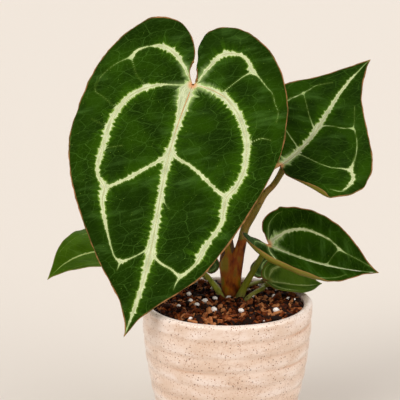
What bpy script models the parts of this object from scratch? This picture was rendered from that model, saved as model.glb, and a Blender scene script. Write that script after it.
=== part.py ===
"""A potted anthurium: a stoneware pot of bark potting mix, a forked trunk, and seven leaf stalks that
each carry a heart-shaped blade.

Metres, +Z up. The origin is the middle of the pot's foot, on the surface that it stands on, and the
plant faces -Y. A blade is first laid out flat, in units of its midrib's length: t runs along the
midrib from the stalk (0) to the tip (1), and s runs across it, positive on the blade's right side as
its upper face is seen with the tip down. The lobes reach back past the stalk, to t below zero. The
flat blade is then bent into place.
"""

import math
import random
from dataclasses import dataclass

import bmesh
import bpy
import numpy as np
from mathutils import Vector, noise

# Pot, turned: its radius falls with the square of the depth under the rim
POT_HEIGHT = 0.105
POT_RIM_RADIUS = 0.060
POT_TAPER = 1.69
POT_WALL = 0.006
POT_FLOOR = 0.008
POT_LIP_HEIGHT = 0.002
POT_FOOT_ROUND = 0.0015
POT_STEPS = 36
RING_SPACING = 0.0109
RING_FIRST = 0.0125
RING_DEPTH = 0.0008
RING_POINTS = 4

# Soil, filled to just under the rim and mounded a little at the trunk
SOIL_HEIGHT = 0.1012
SOIL_MOUND = 0.002
SOIL_ROUGHNESS = 0.0011
SOIL_RINGS = 6
CHIP_COUNT = 26
CHIP_LENGTH = (0.008, 0.0125)
CHIP_THICKNESS = 0.0042
GRAIN_COUNT = 14
GRAIN_RADIUS = (0.0017, 0.0024)
CHIP_SPACING = 0.0075
CHIP_EDGE_GAP = 0.002

# Trunk and stalks: the foot that they stand on is buried, and they rise through holes in the soil
FOOT_CENTRE = (0.005, 0.0125)
FOOT_RADIUS = 0.0142
FOOT_BOTTOM = 0.074
FOOT_TOP = 0.094
HOLE_TOP = 0.13
HOLE_SIDES = 20
SOIL_CLEAR = 0.1045
GAP = 0.0003
TUBE_STEP = 0.006
NECK_RADII = 2.2
STALK_SWELLING = 0.25
SWELLING_LENGTH = 0.012

# Blades
BLADE_THICKNESS = 0.0008
MIDRIB_SHARE = 0.008
MIDRIB_TAPER = 0.8
COLUMN_POWER = 1.5
FAN_SHARE = 0.36
ROW_POWER = 1.15
FAN_TURN = 40
LOBE_SWING = 26
LOBE_REACH = 0.22
LOBE_EASE = 0.05
HALF_WIDTH = 0.4
MARGIN_WAVES = 4

COLOURS = {
    "stoneware": ((0.80, 0.62, 0.46), 0.35),
    "potting_mix": ((0.075, 0.026, 0.012), 0.95),
    "trunk_skin": ((0.15, 0.06, 0.012), 0.6),
    "stalk_skin": ((0.12, 0.11, 0.02), 0.5),
    "velvet_leaf": ((0.018, 0.045, 0.005), 0.6),
    "young_leaf": ((0.05, 0.09, 0.01), 0.5),
}


@dataclass
class Half:
    """One side of a blade: its outline from the stalk round the lobe to the tip, and how it bends.

    fold lifts the side straight up from the midrib, curl bends it on from start to HALF_WIDTH, and
    lobe bends the part behind the stalk. All three are in degrees, up towards the blade's upper face.
    """

    outline: list
    width: float = 1.0
    fold: float = 0.0
    curl: float = 0.0
    start: float = 0.05
    lobe: float = 0.0


@dataclass
class Blade:
    """A blade: where its stalk meets it, its tip, and the way that its upper face looks.

    length is the midrib's. arch lifts its middle off the straight line to the tip, bow carries it to
    the side, sway to and fro, and wave ripples the margin: these four are in lengths of the midrib.
    """

    junction: tuple
    tip: tuple
    face: tuple
    length: float
    left: Half
    right: Half
    arch: float = 0.0
    bow: float = 0.0
    sway: float = 0.0
    wave: float = 0.0
    rows: int = 20
    columns: int = 6
    material: str = "velvet_leaf"


@dataclass
class Stalk:
    """A leaf stalk: the points that it passes through on its way up, and its radius at both ends."""

    route: list
    foot_radius: float
    top_radius: float
    from_soil: bool = True


FRONT_LEFT = [
    (0, 0), (-0.024, -0.06), (-0.024, -0.12), (-0.054, -0.183), (-0.10, -0.222), (-0.17, -0.228),
    (-0.245, -0.19), (-0.32, -0.10), (-0.366, 0.01), (-0.383, 0.14), (-0.384, 0.30), (-0.358, 0.44),
    (-0.27, 0.62), (-0.19, 0.735), (-0.11, 0.822), (-0.04, 0.90), (-0.007, 0.96), (0, 1),
]
FRONT_RIGHT = [
    (0, 0), (0.007, -0.04), (-0.01, -0.11), (-0.014, -0.173), (0.003, -0.215), (0.05, -0.247),
    (0.116, -0.258), (0.19, -0.238), (0.265, -0.19), (0.33, -0.11), (0.372, -0.01), (0.403, 0.10),
    (0.408, 0.22), (0.375, 0.34), (0.31, 0.50), (0.22, 0.68), (0.13, 0.795), (0.05, 0.89),
    (0.013, 0.96), (0, 1),
]
HEART = [
    (0, 0), (0.012, -0.04), (0.012, -0.10), (0.035, -0.17), (0.09, -0.212), (0.17, -0.212),
    (0.25, -0.18), (0.33, -0.10), (0.375, 0), (0.397, 0.12), (0.39, 0.24), (0.345, 0.41),
    (0.26, 0.60), (0.15, 0.78), (0.07, 0.885), (0.02, 0.96), (0, 1),
]
BROAD_HEART = [
    (0, 0), (0.012, -0.04), (0.012, -0.10), (0.035, -0.17), (0.09, -0.214), (0.18, -0.214),
    (0.28, -0.178), (0.38, -0.09), (0.45, 0.03), (0.482, 0.15), (0.465, 0.28), (0.40, 0.43),
    (0.29, 0.57), (0.17, 0.71), (0.08, 0.85), (0.02, 0.96), (0, 1),
]


def mirrored(outline):
    """The same outline on the blade's left side."""
    return [(-s, t) for s, t in outline]


BLADES = {
    "front": Blade(
        (-0.0238, -0.0060, 0.2574), (-0.0686, -0.0500, 0.0941), face=(0, -1, 0.25), length=0.176,
        left=Half(FRONT_LEFT, fold=6, curl=-12),
        right=Half(FRONT_RIGHT, fold=6, curl=-12),
        arch=0.02, sway=-0.016, wave=0.004, rows=31, columns=7,
    ),
    "upper": Blade(
        (0.0371, 0.0228, 0.1966), (0.1017, 0.0561, 0.2682), face=(-0.51, -0.85, -0.14), length=0.116,
        left=Half(mirrored(BROAD_HEART), width=1.03, fold=30, curl=-35, start=0.12, lobe=80),
        right=Half(BROAD_HEART, fold=-3, curl=-3, start=0.2, lobe=20),
        arch=-0.055, sway=-0.022, wave=0.006, rows=22, columns=6,
    ),
    "right": Blade(
        (0.0290, 0.0059, 0.1438), (0.1077, 0.0143, 0.1213), face=(0.37, -0.63, 0.68), length=0.095,
        left=Half(mirrored(HEART), fold=24, curl=48, start=0.1, lobe=11),
        right=Half(HEART, width=1.1, fold=52, curl=44, start=0.14, lobe=40),
        arch=-0.075, wave=0.006, rows=22, columns=6,
    ),
    "small": Blade(
        (0.0302, 0.0180, 0.1132), (0.0690, 0.0320, 0.1080), face=(0.27, -0.43, 0.86), length=0.047,
        left=Half(mirrored(HEART), fold=25, curl=18, start=0.27, lobe=26),
        right=Half(HEART, fold=40, curl=40, start=0.01, lobe=28),
        arch=-0.04, bow=-0.02, sway=0.015, rows=16, columns=5, material="young_leaf",
    ),
    "left": Blade(
        (-0.0527, 0.0380, 0.1381), (-0.1250, -0.0086, 0.1214), face=(0.08, -0.32, 0.94), length=0.099,
        left=Half(mirrored(HEART), width=1.03, fold=9, curl=-34, start=0.065, lobe=13),
        right=Half(HEART, fold=11, curl=7, start=0.3, lobe=37),
        arch=0.07, bow=-0.014, sway=0.045, wave=0.006, rows=20, columns=6, material="young_leaf",
    ),
    "back_left": Blade(
        (-0.0170, 0.0420, 0.1140), (-0.0480, 0.0680, 0.1190), face=(0.1, -0.3, 1.0), length=0.042,
        left=Half(mirrored(HEART), fold=18, curl=-10, lobe=20),
        right=Half(HEART, fold=18, curl=-10, lobe=20),
        arch=0.06, rows=15, columns=5,
    ),
    "back_right": Blade(
        (0.0290, 0.0420, 0.1110), (0.0610, 0.0690, 0.1170), face=(-0.1, -0.3, 1.0), length=0.043,
        left=Half(mirrored(HEART), fold=16, curl=-10, lobe=20),
        right=Half(HEART, fold=16, curl=-10, lobe=20),
        arch=0.06, rows=15, columns=5,
    ),
}

# The trunk's branches and its dry sheath's tip: the points that each passes through, with its radius there
BRANCHES = {
    "front": [
        ((0.0024, 0.0160, 0.086), 0.0052), ((0.0024, 0.0160, 0.100), 0.0052),
        ((0.0012, 0.0160, 0.115), 0.0055), ((0.0000, 0.0165, 0.128), 0.0058),
        ((0.0002, 0.0170, 0.138), 0.0046), ((-0.0016, 0.0180, 0.147), 0.0032),
    ],
    "upper": [
        ((0.0026, 0.0158, 0.086), 0.0050), ((0.0026, 0.0158, 0.100), 0.0050),
        ((0.0045, 0.0150, 0.115), 0.0052), ((0.0068, 0.0145, 0.128), 0.0048),
        ((0.0090, 0.0140, 0.138), 0.0040), ((0.0113, 0.0135, 0.147), 0.0031),
    ],
}
SHEATH = [
    ((0.0030, 0.0146, 0.1345), 0.0026), ((0.0034, 0.0142, 0.1398), 0.0020),
    ((0.0038, 0.0138, 0.1450), 0.0003),
]

STALKS = {
    "front": Stalk(
        [(-0.0037, 0.0191, 0.157), (-0.0120, 0.0235, 0.180), (-0.0210, 0.0240, 0.210),
         (-0.0250, 0.0180, 0.237)],
        0.0029, 0.0025, from_soil=False,
    ),
    "upper": Stalk(
        [(0.0131, 0.0133, 0.154), (0.0190, 0.0165, 0.163), (0.0270, 0.0215, 0.176),
         (0.0340, 0.0255, 0.188)],
        0.0028, 0.0020, from_soil=False,
    ),
    "right": Stalk(
        [(0.0092, 0.0090), (0.0128, 0.0088, 0.1130), (0.0185, 0.0084, 0.1240), (0.0240, 0.0080, 0.1340)],
        0.0026, 0.0018,
    ),
    "small": Stalk(
        [(0.0134, 0.0052), (0.0200, 0.0095, 0.1076), (0.0256, 0.0152, 0.1088)],
        0.0016, 0.0012,
    ),
    "left": Stalk(
        [(-0.0036, 0.0090), (-0.0090, 0.0125, 0.1110), (-0.0150, 0.0165, 0.1180),
         (-0.0300, 0.0270, 0.1280), (-0.0445, 0.0355, 0.1325)],
        0.0019, 0.0015,
    ),
    "back_left": Stalk(
        [(-0.0044, 0.0205), (-0.0085, 0.0280, 0.1078), (-0.0126, 0.0352, 0.1090)],
        0.0015, 0.0011,
    ),
    "back_right": Stalk(
        [(0.0105, 0.0205), (0.0150, 0.0260, 0.1072), (0.0222, 0.0348, 0.1074)],
        0.0015, 0.0011,
    ),
}


def unit(vector):
    """The vector at length one."""
    vector = np.asarray(vector, float)
    return vector / np.linalg.norm(vector)


def smooth_path(points, count):
    """Evenly spaced points on a smooth curve through the given ones."""
    points = np.array(points, float)
    points = np.vstack([2 * points[0] - points[1], points, 2 * points[-1] - points[-2]])
    curve = []
    for before, start, end, after in zip(points, points[1:], points[2:], points[3:]):
        for u in np.linspace(0, 1, 16, endpoint=False):
            curve.append(0.5 * (
                2 * start + (end - before) * u
                + (2 * before - 5 * start + 4 * end - after) * u ** 2
                + (3 * start - before - 3 * end + after) * u ** 3
            ))
    curve = np.array(curve + [points[-2]])
    reach = np.concatenate([[0], np.cumsum(np.linalg.norm(np.diff(curve, axis=0), axis=1))])
    even = np.linspace(0, reach[-1], count)
    return np.stack([np.interp(even, reach, column) for column in curve.T], axis=1)


def flat_half(half, rows, columns):
    """A flat grid of (s, t) over one side, each row an arc from the midrib out to the margin.

    The first rows all start at the stalk and fan out over the lobe, each heading further round than
    the one before it.
    """
    margin = smooth_path(half.outline, rows) * [half.width, 1]
    v = np.linspace(0, 1, rows)
    along = np.clip((v - FAN_SHARE) / (1 - FAN_SHARE), 0, 1) ** ROW_POWER
    midrib = np.stack([np.zeros(rows), along], axis=1)
    reach = margin - midrib
    side = np.sign(half.outline[-3][0])
    heading = np.arctan2(side * reach[:, 0], -reach[:, 1])
    heading[0] = heading[1]
    swing = math.radians(LOBE_SWING) * np.clip(1 - 2 * v / FAN_SHARE, 0, 1)
    turn = math.radians(FAN_TURN) * v
    spread = np.maximum.accumulate(heading + swing - turn) + turn
    heading = np.where(v < FAN_SHARE, spread, heading)
    length = np.linalg.norm(reach, axis=1)
    knee = midrib + np.stack([side * length * np.sin(heading), -length * np.cos(heading)], axis=1) / 2
    u = np.linspace(0, 1, columns)[None, :, None] ** COLUMN_POWER
    return (1 - u) ** 2 * midrib[:, None] + 2 * u * (1 - u) * knee[:, None] + u ** 2 * margin[:, None]


def fold_and_curl(across, half):
    """How far out and up a point gets that lies this far across the flat blade."""
    fold = math.radians(half.fold)
    bend = math.radians(half.curl + 1e-6) / (HALF_WIDTH - half.start)
    straight = np.minimum(across, half.start)
    angle = fold + bend * np.maximum(across - half.start, 0)
    out = straight * math.cos(fold) + (np.sin(angle) - math.sin(fold)) / bend
    up = straight * math.sin(fold) + (math.cos(fold) - np.cos(angle)) / bend
    return out, up


def blade_axes(blade):
    """Unit vectors along a blade to its tip, across it to its right, and up out of its upper face."""
    along = unit(np.subtract(blade.tip, blade.junction))
    face = unit(blade.face)
    up = unit(face - face.dot(along) * along)
    return along, np.cross(up, along), up


def bend_half(blade, half, flat):
    """Bend flat points of one side of a blade, and give their places from its junction."""
    along_axis, across_axis, up_axis = blade_axes(blade)
    s, t = flat[..., 0], flat[..., 1]
    side = np.sign(half.outline[-3][0])
    out, up = fold_and_curl(side * s, half)
    up = up + blade.wave * (s / HALF_WIDTH) ** 2 * np.sin(2 * math.pi * MARGIN_WAVES * t)
    ease = np.clip(np.abs(s) / LOBE_EASE, 0, 1)
    lobe_bend = math.radians(half.lobe) / LOBE_REACH * ease ** 2 * (3 - 2 * ease) + 1e-6
    back = np.minimum(t, 0)
    front = np.maximum(t, 0)
    tilt = lobe_bend * back
    hump = 4 * front * (1 - front)
    chord = np.linalg.norm(np.subtract(blade.tip, blade.junction)) / blade.length
    along = chord * (front + np.sin(tilt) / lobe_bend) - np.sin(tilt) * up
    up = np.cos(tilt) * up + (1 - np.cos(tilt)) / lobe_bend + blade.arch * (hump + 4 * back)
    across = side * out + blade.bow * hump + blade.sway * np.sin(2 * math.pi * front)
    place = along[..., None] * along_axis + across[..., None] * across_axis + up[..., None] * up_axis
    return blade.length * place


def scene_collection(name):
    """A new collection in the scene."""
    collection = bpy.data.collections.new(name)
    bpy.context.scene.collection.children.link(collection)
    return collection


def make_material(name):
    """A Principled material with the named finish's colour and roughness."""
    colour, roughness = COLOURS[name]
    material = bpy.data.materials.new(name)
    material.use_nodes = True
    shader = material.node_tree.nodes["Principled BSDF"]
    shader.inputs["Base Color"].default_value = (*colour, 1)
    shader.inputs["Roughness"].default_value = roughness
    shader.inputs["Metallic"].default_value = 0
    return material


def add_object(name, data, collection, material=None, place=(0, 0, 0)):
    """Put a mesh or a curve in a collection as an object, and give it its place and material."""
    piece = bpy.data.objects.new(name, data)
    piece.location = place
    collection.objects.link(piece)
    if material:
        data.materials.append(material)
    return piece


def mesh_from(bm, name):
    """Turn a bmesh into a mesh with smooth faces."""
    mesh = bpy.data.meshes.new(name)
    bm.to_mesh(mesh)
    bm.free()
    mesh.shade_smooth()
    return mesh


def evaluated_mesh(piece):
    """The mesh of an object with its modifiers applied and its loose caps welded."""
    depsgraph = bpy.context.evaluated_depsgraph_get()
    mesh = bpy.data.meshes.new_from_object(piece.evaluated_get(depsgraph))
    bm = bmesh.new()
    bm.from_mesh(mesh)
    bmesh.ops.remove_doubles(bm, verts=bm.verts, dist=1e-6)
    bm.to_mesh(mesh)
    bm.free()
    return mesh


def as_mesh_object(piece, collection):
    """Replace a curve, or an object with modifiers, by a plain mesh object."""
    solid = add_object(piece.name + "_solid", evaluated_mesh(piece), collection)
    solid.matrix_world = piece.matrix_world
    bpy.data.objects.remove(piece)
    return solid


def join_collection(piece, others):
    """Unite an object with every object of a collection, and remove the collection."""
    union = piece.modifiers.new("union", "BOOLEAN")
    union.operation = "UNION"
    union.operand_type = "COLLECTION"
    union.collection = others
    piece.data = evaluated_mesh(piece)
    piece.modifiers.clear()
    for other in list(others.objects):
        bpy.data.objects.remove(other)
    bpy.data.collections.remove(others)


def turned(name, profile, collection, material=None):
    """Turn a profile of (radius, height) points round the Z axis."""
    bm = bmesh.new()
    verts = [bm.verts.new((radius, 0, height)) for radius, height in profile]
    for start, end in zip(verts, verts[1:]):
        bm.edges.new((start, end))
    piece = add_object(name, mesh_from(bm, name), collection, material)
    screw = piece.modifiers.new("turn", "SCREW")
    screw.steps = POT_STEPS
    screw.render_steps = POT_STEPS
    screw.use_merge_vertices = True
    screw.merge_threshold = 0.00001
    screw.use_smooth_shade = True
    return piece


def pot_radius(height):
    """The outside radius of the pot's wall without its rings."""
    return POT_RIM_RADIUS - POT_TAPER * (POT_HEIGHT - height) ** 2


def inner_heights():
    """The heights of the points down the inside of the pot's wall, from the floor up."""
    return np.linspace(POT_FLOOR, POT_HEIGHT - POT_LIP_HEIGHT, 6)


def ring_relief(depth):
    """How far the throwing rings bring the wall in at a depth under the rim."""
    wave = 0.5 + 0.5 * math.cos(2 * math.pi * (depth - RING_FIRST) / RING_SPACING)
    ease = min(1.0, depth / RING_SPACING, (POT_HEIGHT - depth) / RING_SPACING)
    return RING_DEPTH * wave * ease


def pot_profile():
    """The pot's section: floor, inner wall, lip, ringed outer wall and rounded foot."""
    inner = [(pot_radius(height) - POT_WALL, height) for height in inner_heights()]
    lip = []
    for angle in np.radians([150, 110, 70, 30]):
        radius = POT_RIM_RADIUS + POT_WALL / 2 * (math.cos(angle) - 1)
        lip.append((radius, POT_HEIGHT + POT_LIP_HEIGHT * (math.sin(angle) - 1)))
    depths = np.arange(POT_LIP_HEIGHT, POT_HEIGHT - POT_FOOT_ROUND, RING_SPACING / RING_POINTS)
    outer = [(pot_radius(POT_HEIGHT - depth) - ring_relief(depth), POT_HEIGHT - depth) for depth in depths]
    foot = [(pot_radius(0), POT_FOOT_ROUND), (pot_radius(0) - POT_FOOT_ROUND, 0), (0, 0)]
    return [(0, POT_FLOOR)] + inner + lip + outer + foot


def make_pot(collection, material):
    """The pot, with a rounded lip, throwing rings outside and a flat foot."""
    return turned("pot", pot_profile(), collection, material)


def soil_height(x, y):
    """The height of the soil's surface."""
    mound = SOIL_MOUND * (1 - math.hypot(x, y) / POT_RIM_RADIUS)
    rough = SOIL_ROUGHNESS * noise.noise(Vector((x, y, 0)) / 0.009)
    return SOIL_HEIGHT + mound + rough


def soil_profile():
    """The soil plug's section, a gap inside the pot's wall and floor."""
    edge = pot_radius(SOIL_HEIGHT) - POT_WALL - GAP
    top = [(edge * n / SOIL_RINGS, SOIL_HEIGHT) for n in range(SOIL_RINGS + 1)]
    heights = [height for height in inner_heights() if POT_FLOOR < height < SOIL_HEIGHT]
    wall = [(pot_radius(height) - POT_WALL - GAP, height) for height in reversed(heights)]
    bottom = POT_FLOOR + GAP
    return top + wall + [(pot_radius(bottom) - POT_WALL - GAP, bottom), (0, bottom)]


def scatter(count, draw):
    """Seeded places on the soil, apart from each other, the pot's wall and the stalks' feet."""
    reach = POT_RIM_RADIUS - POT_WALL - CHIP_LENGTH[1] / 2 - CHIP_EDGE_GAP
    places = []
    while len(places) < count:
        radius = reach * math.sqrt(draw.random())
        angle = draw.uniform(0, 2 * math.pi)
        place = (radius * math.cos(angle), radius * math.sin(angle))
        apart = all(math.dist(place, other) > CHIP_SPACING for other in places)
        if apart and math.dist(place, FOOT_CENTRE) > FOOT_RADIUS + CHIP_LENGTH[1] / 2:
            places.append(place)
    return places


def make_chips(collection):
    """Bark chips and perlite grains that lie half sunk in the soil's surface."""
    draw = random.Random(7)
    for index, (x, y) in enumerate(scatter(CHIP_COUNT + GRAIN_COUNT, draw)):
        bm = bmesh.new()
        if index < CHIP_COUNT:
            length = draw.uniform(*CHIP_LENGTH)
            bmesh.ops.create_cube(bm, size=1)
            size = (length, length * draw.uniform(0.45, 0.7), CHIP_THICKNESS)
            bmesh.ops.scale(bm, verts=bm.verts, vec=size)
            for vert in bm.verts:
                vert.co *= draw.uniform(0.82, 1.0)
            turn = [draw.uniform(-14, 14), draw.uniform(-14, 14), draw.uniform(0, 360)]
        else:
            bmesh.ops.create_icosphere(bm, subdivisions=1, radius=draw.uniform(*GRAIN_RADIUS))
            turn = [draw.uniform(0, 360) for _ in range(3)]
        chip = add_object("chip", mesh_from(bm, "chip"), collection, place=(x, y, soil_height(x, y)))
        chip.rotation_euler = [math.radians(angle) for angle in turn]


def make_stem_cutters(collection):
    """Cylinders for the pocket round the trunk's foot and the plain holes that the stems rise through."""
    holes = [(*FOOT_CENTRE, FOOT_RADIUS, FOOT_BOTTOM - GAP, FOOT_TOP + GAP)]
    branches = [points[1] for points in BRANCHES.values()]
    trunk_radius = max(radius for _, radius in branches) + math.dist(branches[0][0], branches[1][0])
    holes.append((*branches[0][0][:2], trunk_radius, FOOT_TOP, HOLE_TOP))
    for stalk in STALKS.values():
        if stalk.from_soil:
            holes.append((*stalk.route[0], stalk.foot_radius, FOOT_TOP, HOLE_TOP))
    for x, y, radius, bottom, top in holes:
        bpy.ops.mesh.primitive_cylinder_add(
            vertices=HOLE_SIDES, radius=(radius + GAP) / math.cos(math.pi / HOLE_SIDES), depth=top - bottom,
            location=(x, y, (top + bottom) / 2),
        )
        cutter = bpy.context.object
        cutter.name = "stem_hole"
        cutter.display_type = "WIRE"
        cutter.hide_render = True
        for other in cutter.users_collection:
            other.objects.unlink(cutter)
        collection.objects.link(cutter)


def make_soil(collection, material, cutters):
    """The potting mix: a plug with a rough top, chips and grains in it, and holes for the stems."""
    blank = turned("soil_blank", soil_profile(), collection)
    mesh = evaluated_mesh(blank)
    bpy.data.objects.remove(blank)
    for vert in mesh.vertices:
        if vert.co.z > SOIL_HEIGHT - 1e-6:
            vert.co.z = soil_height(vert.co.x, vert.co.y)
    soil = add_object("soil", mesh, collection)
    chips = scene_collection("chips")
    make_chips(chips)
    join_collection(soil, chips)
    soil.data.materials.clear()
    soil.data.materials.append(material)
    holes = soil.modifiers.new("stem holes", "BOOLEAN")
    holes.operation = "DIFFERENCE"
    holes.operand_type = "COLLECTION"
    holes.collection = cutters
    return soil


def make_tube(name, points, radii, collection, material=None):
    """A round rod along points, with a radius at each of them."""
    curve = bpy.data.curves.new(name, "CURVE")
    curve.dimensions = "3D"
    curve.bevel_depth = 1
    curve.bevel_resolution = 2
    curve.use_fill_caps = True
    spline = curve.splines.new("POLY")
    spline.points.add(len(points) - 1)
    for point, place, radius in zip(spline.points, points, radii):
        point.co = (*place, 1)
        point.radius = radius
    return add_object(name, curve, collection, material)


def tube_count(points):
    """How many points a tube takes along its route."""
    length = sum(math.dist(start, end) for start, end in zip(points, points[1:]))
    return max(4, round(length / TUBE_STEP) + 1)


def make_trunk(collection, material):
    """The trunk: a buried foot, two sheathed branches that fork above the soil, and a dry sheath's tip."""
    bpy.ops.mesh.primitive_cylinder_add(
        vertices=HOLE_SIDES, radius=FOOT_RADIUS, depth=FOOT_TOP - FOOT_BOTTOM,
        location=(*FOOT_CENTRE, (FOOT_TOP + FOOT_BOTTOM) / 2),
    )
    foot = bpy.context.object
    foot.name = "trunk"
    for other in foot.users_collection:
        other.objects.unlink(foot)
    collection.objects.link(foot)
    parts = scene_collection("trunk_parts")
    for name, points in BRANCHES.items():
        route = [(*place, radius) for place, radius in points]
        path = smooth_path(route, tube_count([place for place, _ in points]) + 2)
        as_mesh_object(make_tube(name + "_branch", path[:, :3], path[:, 3], parts), parts)
    as_mesh_object(make_tube("sheath", *zip(*SHEATH), parts), parts)
    join_collection(foot, parts)
    foot.data.materials.clear()
    foot.data.materials.append(material)
    return foot


def midrib_thickness(blade):
    """A blade's thickness over its midrib, at the stalk."""
    return BLADE_THICKNESS + MIDRIB_SHARE * blade.length


def stalk_path(name, blade_normal):
    """The points of a stalk from its foot to just under its blade, square to the blade's underside."""
    stalk, blade = STALKS[name], BLADES[name]
    junction = np.array(blade.junction)
    seat = junction - (midrib_thickness(blade) + GAP) * blade_normal
    neck = NECK_RADII * stalk.top_radius
    below = seat - neck * blade_normal
    bend = below - neck * blade_normal - neck * blade_axes(blade)[0]
    if stalk.from_soil:
        x, y = stalk.route[0]
        start = (x, y, SOIL_CLEAR)
    else:
        ends = [np.array(place) for place, _ in BRANCHES[name][-2:]]
        start = ends[1] + GAP * unit(ends[1] - ends[0])
    route = [start] + stalk.route[stalk.from_soil:] + [bend, below]
    path = np.vstack([smooth_path(route, tube_count(route)), seat])
    if stalk.from_soil:
        path = np.vstack([[x, y, FOOT_TOP + GAP], path])
    return path


def make_stalk(name, blade_piece, collection, material):
    """A leaf stalk, a little swollen where it meets its blade."""
    stalk = STALKS[name]
    junction = min(blade_piece.data.vertices, key=lambda vert: vert.co.length)
    path = stalk_path(name, np.array(junction.normal))
    share = np.linspace(0, 1, len(path))
    radii = stalk.foot_radius + (stalk.top_radius - stalk.foot_radius) * share
    to_blade = np.linalg.norm(path - path[-1], axis=1)
    radii *= 1 + STALK_SWELLING * np.clip(1 - to_blade / SWELLING_LENGTH, 0, 1)
    return make_tube(f"stalk_{name}", path, radii, collection, material)


def make_blade(name, collection, material):
    """A leaf blade: two bent grids that meet at the midrib, thickened downwards."""
    blade = BLADES[name]
    thick = midrib_thickness(blade)
    bm = bmesh.new()
    midrib = bm.verts.layers.deform.new()
    for half in (blade.left, blade.right):
        flat = flat_half(half, blade.rows, blade.columns)
        places = bend_half(blade, half, flat)
        grid = bmesh.ops.create_grid(
            bm, x_segments=blade.columns - 1, y_segments=blade.rows - 1, size=0.5,
        )["verts"]
        for vert in grid:
            column = round((vert.co.x + 0.5) * (blade.columns - 1))
            row = round((vert.co.y + 0.5) * (blade.rows - 1))
            if column == 0:
                vert[midrib][0] = 1 - MIDRIB_TAPER * flat[row, 0, 1]
            vert.co = places[row, column]
        if half is blade.right:
            faces = {face for vert in grid for face in vert.link_faces}
            bmesh.ops.reverse_faces(bm, faces=list(faces))
    bmesh.ops.remove_doubles(bm, verts=bm.verts, dist=2e-5)
    bmesh.ops.triangulate(bm, faces=bm.faces)
    piece = add_object(f"blade_{name}", mesh_from(bm, name), collection, material, blade.junction)
    piece.vertex_groups.new(name="midrib")
    shell = piece.modifiers.new("thickness", "SOLIDIFY")
    shell.thickness = thick
    shell.offset = -1
    shell.vertex_group = "midrib"
    shell.thickness_vertex_group = BLADE_THICKNESS / thick
    return piece


def build():
    """Make every piece of the potted anthurium."""
    for old in list(bpy.data.objects):
        bpy.data.objects.remove(old)
    plant = scene_collection("potted_anthurium")
    cutters = scene_collection("cutters")
    materials = {name: make_material(name) for name in COLOURS}
    make_stem_cutters(cutters)
    make_pot(plant, materials["stoneware"])
    make_soil(plant, materials["potting_mix"], cutters)
    make_trunk(plant, materials["trunk_skin"])
    for name, blade in BLADES.items():
        blade_piece = make_blade(name, plant, materials[blade.material])
        make_stalk(name, blade_piece, plant, materials["stalk_skin"])


build()
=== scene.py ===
"""The looks of a potted anthurium: velvet blades with silver veins, their stalks, the forked trunk,
bark potting mix with perlite, and a speckled stoneware pot with throwing rings.

Metres, in the same frame as the solids: the origin is the middle of the pot's foot, and the plant
faces -Y. A blade is laid out flat first, in lengths of its midrib: t runs from the stalk (0) to the
tip (1) and s runs across, and then it is bent by the same rule as its solid.
"""

import math
import random
from dataclasses import dataclass, field
from functools import partial
from types import SimpleNamespace

import bmesh
import bpy
import numpy as np
from mathutils import Euler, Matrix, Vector, noise


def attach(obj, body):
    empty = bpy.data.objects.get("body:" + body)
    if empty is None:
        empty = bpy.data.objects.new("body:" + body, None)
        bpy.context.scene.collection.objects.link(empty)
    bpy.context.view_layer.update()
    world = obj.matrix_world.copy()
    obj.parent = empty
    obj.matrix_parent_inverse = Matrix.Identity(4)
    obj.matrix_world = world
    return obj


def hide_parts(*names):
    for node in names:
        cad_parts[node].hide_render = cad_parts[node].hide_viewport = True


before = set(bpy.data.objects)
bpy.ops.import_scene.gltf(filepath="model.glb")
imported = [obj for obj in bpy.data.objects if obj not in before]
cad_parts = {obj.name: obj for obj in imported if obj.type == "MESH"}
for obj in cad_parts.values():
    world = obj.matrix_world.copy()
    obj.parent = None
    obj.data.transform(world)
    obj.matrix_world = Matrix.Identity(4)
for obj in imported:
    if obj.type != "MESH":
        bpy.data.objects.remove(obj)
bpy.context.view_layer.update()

MM = 0.001

# Pot
POT_HEIGHT = 0.105
POT_RIM_RADIUS = 0.060
POT_TAPER = 1.69
POT_WALL = 0.006
POT_FLOOR = 0.008
POT_LIP_HEIGHT = 0.002
POT_FOOT_ROUND = 0.0015
POT_STEPS = 240
WALL_SWELL = 0.00018
RING_DEPTHS = (0.0125, 0.0241, 0.0342, 0.0452, 0.0561, 0.0670, 0.0779, 0.0888)
RING_DEPTH = 0.0009
RING_REACH_UP = 0.0019
RING_REACH_DOWN = 0.0032
RING_SWAY = 0.0012

# Potting mix
SOIL_HEIGHT = 0.1006
SOIL_MOUND = 0.002
SOIL_UNEVEN = 0.0012
SOIL_CRUMBS = 0.0011
SOIL_STEPS = 200
STEM_GAP = 0.001
CHIP_COUNT = 680
CRUMB_COUNT = 900
GRAIN_COUNT = 22
GRAIN_SWELL = 1.08
GRAIN_LIFT = 0.0026
FRONT_GRAINS = (
    (-0.0272, 0.0154, 1.6), (-0.0256, -0.0006, 2.1), (-0.0211, -0.0097, 1.6), (-0.0154, -0.0018, 2.4),
    (-0.0335, -0.0128, 1.3), (-0.0089, -0.0220, 2.2), (-0.0244, -0.0384, 1.7), (0.0096, -0.0238, 1.8),
    (0.0337, -0.0188, 2.3), (0.0334, 0.0097, 1.7), (0.0432, 0.0066, 1.4), (0.0479, 0.0020, 1.2),
    (0.0242, -0.0407, 1.1),
)
STEM_FEET = {
    "trunk": (0.0024, 0.0160, 0.0072),
    "right": (0.0092, 0.0090, 0.0040),
    "small": (0.0134, 0.0052, 0.0022),
    "left": (-0.0036, 0.0090, 0.0026),
    "back_left": (-0.0044, 0.0205, 0.0020),
    "back_right": (0.0105, 0.0205, 0.0020),
}

# Trunk
TRUNK_MIDDLE = (0.0035, 0.016)
VOXEL = 0.00055
GROWTH_SCARS = ((0.1085, 0.0012), (0.1190, -0.0022), (0.1295, 0.0030))
SCAR_WIDTH = 0.0006
SCAR_STEP = 0.00018
CORK_STREAK = 0.00022

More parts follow.
